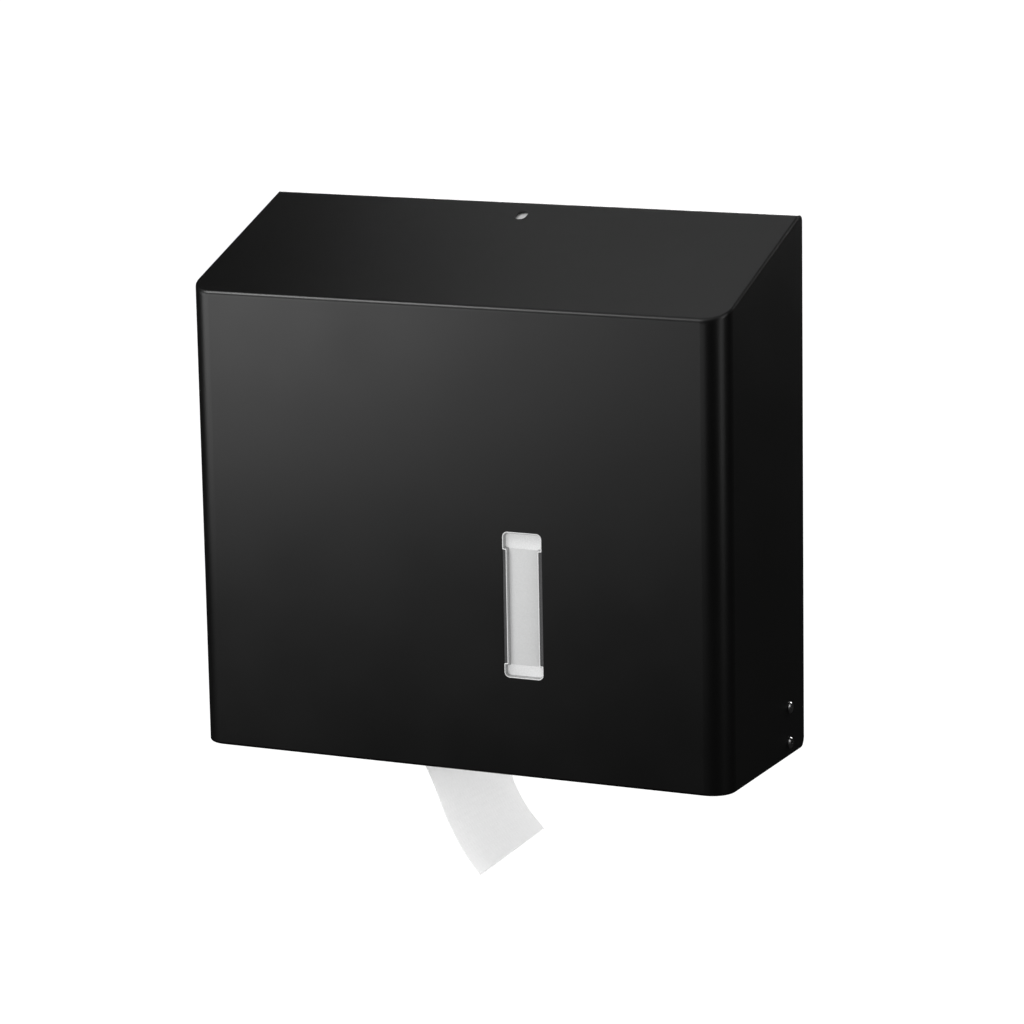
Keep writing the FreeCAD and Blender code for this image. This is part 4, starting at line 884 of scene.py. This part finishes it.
def leaf_spring():
    """The leaf spring, with a rivet hole in its foot, rounded tip and soft bends."""
    line = leaf_line()
    half = 6.0 * MM
    hole = 1.75 * MM
    form = bmesh.new()
    rows = []
    for (depth, height), share in zip(line, LEAF_WIDTHS):
        width = half * share
        rows.append([form.verts.new((across, depth, height)) for across in (-width, -hole, hole, width)])
    for index, (near, far) in enumerate(zip(rows, rows[1:])):
        for column in range(3):
            if (index, column) == (1, 1):
                continue
            form.faces.new((near[column], near[column + 1], far[column + 1], far[column]))
    mesh = bpy.data.meshes.new("leaf_spring")
    form.to_mesh(mesh)
    form.free()
    look = bpy.context.scene.dispenser_metal
    steel = brushed("spring_steel", look.stainless, look.brush_width, (1, 12, 12))
    made = piece("leaf_spring", mesh, [steel], sharp=40.0)
    smooth = made.modifiers.new("bends", "SUBSURF")
    smooth.levels = smooth.render_levels = 3
    thick = made.modifiers.new("sheet", "SOLIDIFY")
    thick.thickness = LEAF
    thick.offset = 0.0
    applied(made)
    made.data.set_sharp_from_angle(angle=math.radians(40))
    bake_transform(made)
    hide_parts("latch_spring")
    return made


# Stage

def soft_box(name, place, wide, tall, radiance, diffuse):
    """A soft box whose brightness is given as radiance, for all surfaces or for their reflections alone."""
    data = bpy.data.lights.new(name, "AREA")
    data.shape = "RECTANGLE"
    data.size = wide
    data.size_y = tall
    data.energy = radiance * math.pi * wide * tall
    made = bpy.data.objects.new(name, data)
    bpy.context.scene.collection.objects.link(made)
    made.location = place
    made.rotation_mode = "QUATERNION"
    made.rotation_quaternion = (Vector(SOFT_BOX_AIM) - Vector(place)).to_track_quat("-Z", "Y")
    made.visible_camera = False
    made.visible_diffuse = diffuse


def studio_floor(sizes):
    """A wide pale floor far below, which isn't seen in the object's reflections."""
    form = bmesh.new()
    bmesh.ops.create_circle(form, cap_ends=True, segments=96, radius=sizes.floor_radius)
    mesh = bpy.data.meshes.new("floor")
    form.to_mesh(mesh)
    form.free()
    made = bpy.data.objects.new("floor", mesh)
    bpy.context.scene.collection.objects.link(made)
    made.location.z = -sizes.floor_drop
    material, tree, shader, coordinates = new_finish("pale_floor")
    cloud = grain(tree, coordinates.outputs["Object"], 0.4)
    tree.links.new(tinted(tree, cloud, FLOOR_WHITE, 0.99), shader.inputs["Base Color"])
    shader.inputs["Roughness"].default_value = 0.9
    shader.inputs["Emission Color"].default_value = WHITE
    shader.inputs["Emission Strength"].default_value = sizes.floor_glow
    mesh.materials.append(material)
    made.visible_glossy = False


def studio_world(sizes):
    """White all round for the camera, soft fill on the object, and dark in its reflections."""
    world = bpy.data.worlds.new("studio")
    world.use_nodes = True
    bpy.context.scene.world = world
    tree = world.node_tree
    tree.nodes.clear()
    path = add_node(tree, "ShaderNodeLightPath")
    seen = add_node(tree, "ShaderNodeBackground", {"Color": WHITE, "Strength": sizes.backdrop})
    fill = add_node(tree, "ShaderNodeBackground", {"Color": WHITE, "Strength": sizes.fill})
    dark = add_node(tree, "ShaderNodeBackground", {"Color": WHITE, "Strength": sizes.reflected})
    lit = add_node(tree, "ShaderNodeMixShader", {
        0: path.outputs["Is Glossy Ray"], 1: fill.outputs[0], 2: dark.outputs[0]})
    both = add_node(tree, "ShaderNodeMixShader", {
        0: path.outputs["Is Camera Ray"], 1: lit.outputs[0], 2: seen.outputs[0]})
    add_node(tree, "ShaderNodeOutputWorld", {"Surface": both.outputs[0]})


def studio_camera(sizes):
    """The camera, turned about Z, then tilted, then rolled."""
    data = bpy.data.cameras.new("camera")
    data.sensor_width = 36.0
    data.lens = sizes.lens
    data.clip_end = 100.0
    made = bpy.data.objects.new("camera", data)
    bpy.context.scene.collection.objects.link(made)
    turn, tilt, roll = sizes.camera_turn
    made.matrix_world = (Matrix.Translation(sizes.camera_place) @ Matrix.Rotation(turn, 4, "Z")
                         @ Matrix.Rotation(math.pi / 2 - tilt, 4, "X") @ Matrix.Rotation(roll, 4, "Z"))
    bpy.context.scene.camera = made


# Operators

class DISPENSER_OT_stage(bpy.types.Operator):
    """Sets up the floor, the lights and the camera"""

    bl_idname = "dispenser.stage"
    bl_label = "Studio"

    def execute(self, context):
        sizes = context.scene.dispenser_stage
        studio_world(sizes)
        studio_floor(sizes)
        studio_camera(sizes)
        for box in SOFT_BOXES:
            soft_box(*box)
        context.scene.view_settings.view_transform = "Standard"
        context.scene.view_settings.look = "None"
        return {"FINISHED"}


class DISPENSER_OT_coated_steel(bpy.types.Operator):
    """Powder coats the hood and the back plate and plates the rivets in the hood's sides"""

    bl_idname = "dispenser.coated_steel"
    bl_label = "Coated steel"

    def execute(self, context):
        look = context.scene.dispenser_coating
        dress(["hood_shell"], powder_coat("hood_coat", look, look.roughness))
        dress(["back_plate"], powder_coat("plate_coat", look, look.roughness + 0.08))
        metal = context.scene.dispenser_metal
        dress(nodes_like("hinge_pin", "stop_pin"), turned("rivet_steel", metal.dark_nickel, "X"))
        return {"FINISHED"}


class DISPENSER_OT_metal_parts(bpy.types.Operator):
    """Finishes the brackets, the latch, the axle, the pins and the rivets in metal"""

    bl_idname = "dispenser.metal_parts"
    bl_label = "Metal parts"

    def execute(self, context):
        look = context.scene.dispenser_metal
        dress(nodes_like("hinge_bracket", "latch_bracket", "hood_catch"), plated("zinc_plate", look.zinc))
        dress(["latch_lever"], brushed("latch_stainless", look.stainless, look.brush_width, (40, 1, 1),
                                       roughness=0.55, metallic=0.6))
        dress(["axle", "axle_clip"] + nodes_like("bracket_rivet", "latch_rivet"),
              turned("turned_steel", look.turned_steel, "Y"))
        dress(["latch_pin"], turned("pin_steel", look.turned_steel, "X"))
        return {"FINISHED"}


class DISPENSER_OT_plastic_parts(bpy.types.Operator):
    """Finishes the hub and the washers in moulded plastic"""

    bl_idname = "dispenser.plastic_parts"
    bl_label = "Plastic parts"

    def execute(self, context):
        dress(["roll_hub"], moulded("hub_plastic", HUB_BLACK, 0.5))
        dress(["axle_washer"] + nodes_like("pivot_washer", "stop_washer"),
              moulded("nylon", NYLON_CREAM, 0.42, texture=0.006 * MM))
        return {"FINISHED"}


class DISPENSER_OT_window(bpy.types.Operator):
    """Makes the window's tray, its blank card and its seal"""

    bl_idname = "dispenser.window"
    bl_label = "Window"

    def execute(self, context):
        sizes = context.scene.dispenser_window
        window_tray(sizes)
        window_card(sizes)
        window_seal(sizes)
        return {"FINISHED"}


class DISPENSER_OT_paper(bpy.types.Operator):
    """Makes the wound roll, its core and the loose sheet"""

    bl_idname = "dispenser.paper"
    bl_label = "Paper"

    def execute(self, context):
        sizes = context.scene.dispenser_paper
        wound_paper(sizes)
        core_tube()
        paper_sheet(sizes)
        return {"FINISHED"}


class DISPENSER_OT_latch_spring(bpy.types.Operator):
    """Makes the leaf spring that lifts the latch lever"""

    bl_idname = "dispenser.latch_spring"
    bl_label = "Latch spring"

    def execute(self, context):
        leaf_spring()
        return {"FINISHED"}


STEPS = (
    DISPENSER_OT_stage,
    DISPENSER_OT_coated_steel,
    DISPENSER_OT_metal_parts,
    DISPENSER_OT_plastic_parts,
    DISPENSER_OT_window,
    DISPENSER_OT_paper,
    DISPENSER_OT_latch_spring,
)
GROUPS = {
    "dispenser_coating": CoatingLook,
    "dispenser_metal": MetalLook,
    "dispenser_window": WindowSizes,
    "dispenser_paper": PaperSizes,
    "dispenser_stage": StageSizes,
}


class DISPENSER_PT_panel(bpy.types.Panel):
    """Lists the steps and the sizes"""

    bl_idname = "DISPENSER_PT_panel"
    bl_label = "Paper Dispenser"
    bl_space_type = "VIEW_3D"
    bl_region_type = "UI"
    bl_category = "Dispenser"

    def draw(self, context):
        for step in STEPS:
            self.layout.operator(step.bl_idname)
        for group in GROUPS:
            values = getattr(context.scene, group)
            box = self.layout.box()
            for name in values.bl_rna.properties.keys():
                if name not in ("rna_type", "name"):
                    box.prop(values, name)


def register():
    for group, kind in GROUPS.items():
        bpy.utils.register_class(kind)
        setattr(bpy.types.Scene, group, bpy.props.PointerProperty(type=kind))
    for step in STEPS:
        bpy.utils.register_class(step)
    bpy.utils.register_class(DISPENSER_PT_panel)


def unregister():
    bpy.utils.unregister_class(DISPENSER_PT_panel)
    for step in reversed(STEPS):
        bpy.utils.unregister_class(step)
    for group, kind in GROUPS.items():
        delattr(bpy.types.Scene, group)
        bpy.utils.unregister_class(kind)


def main():
    register()
    for step in STEPS:
        group, name = step.bl_idname.split(".")
        getattr(getattr(bpy.ops, group), name)()


if __name__ == "__main__":
    main()
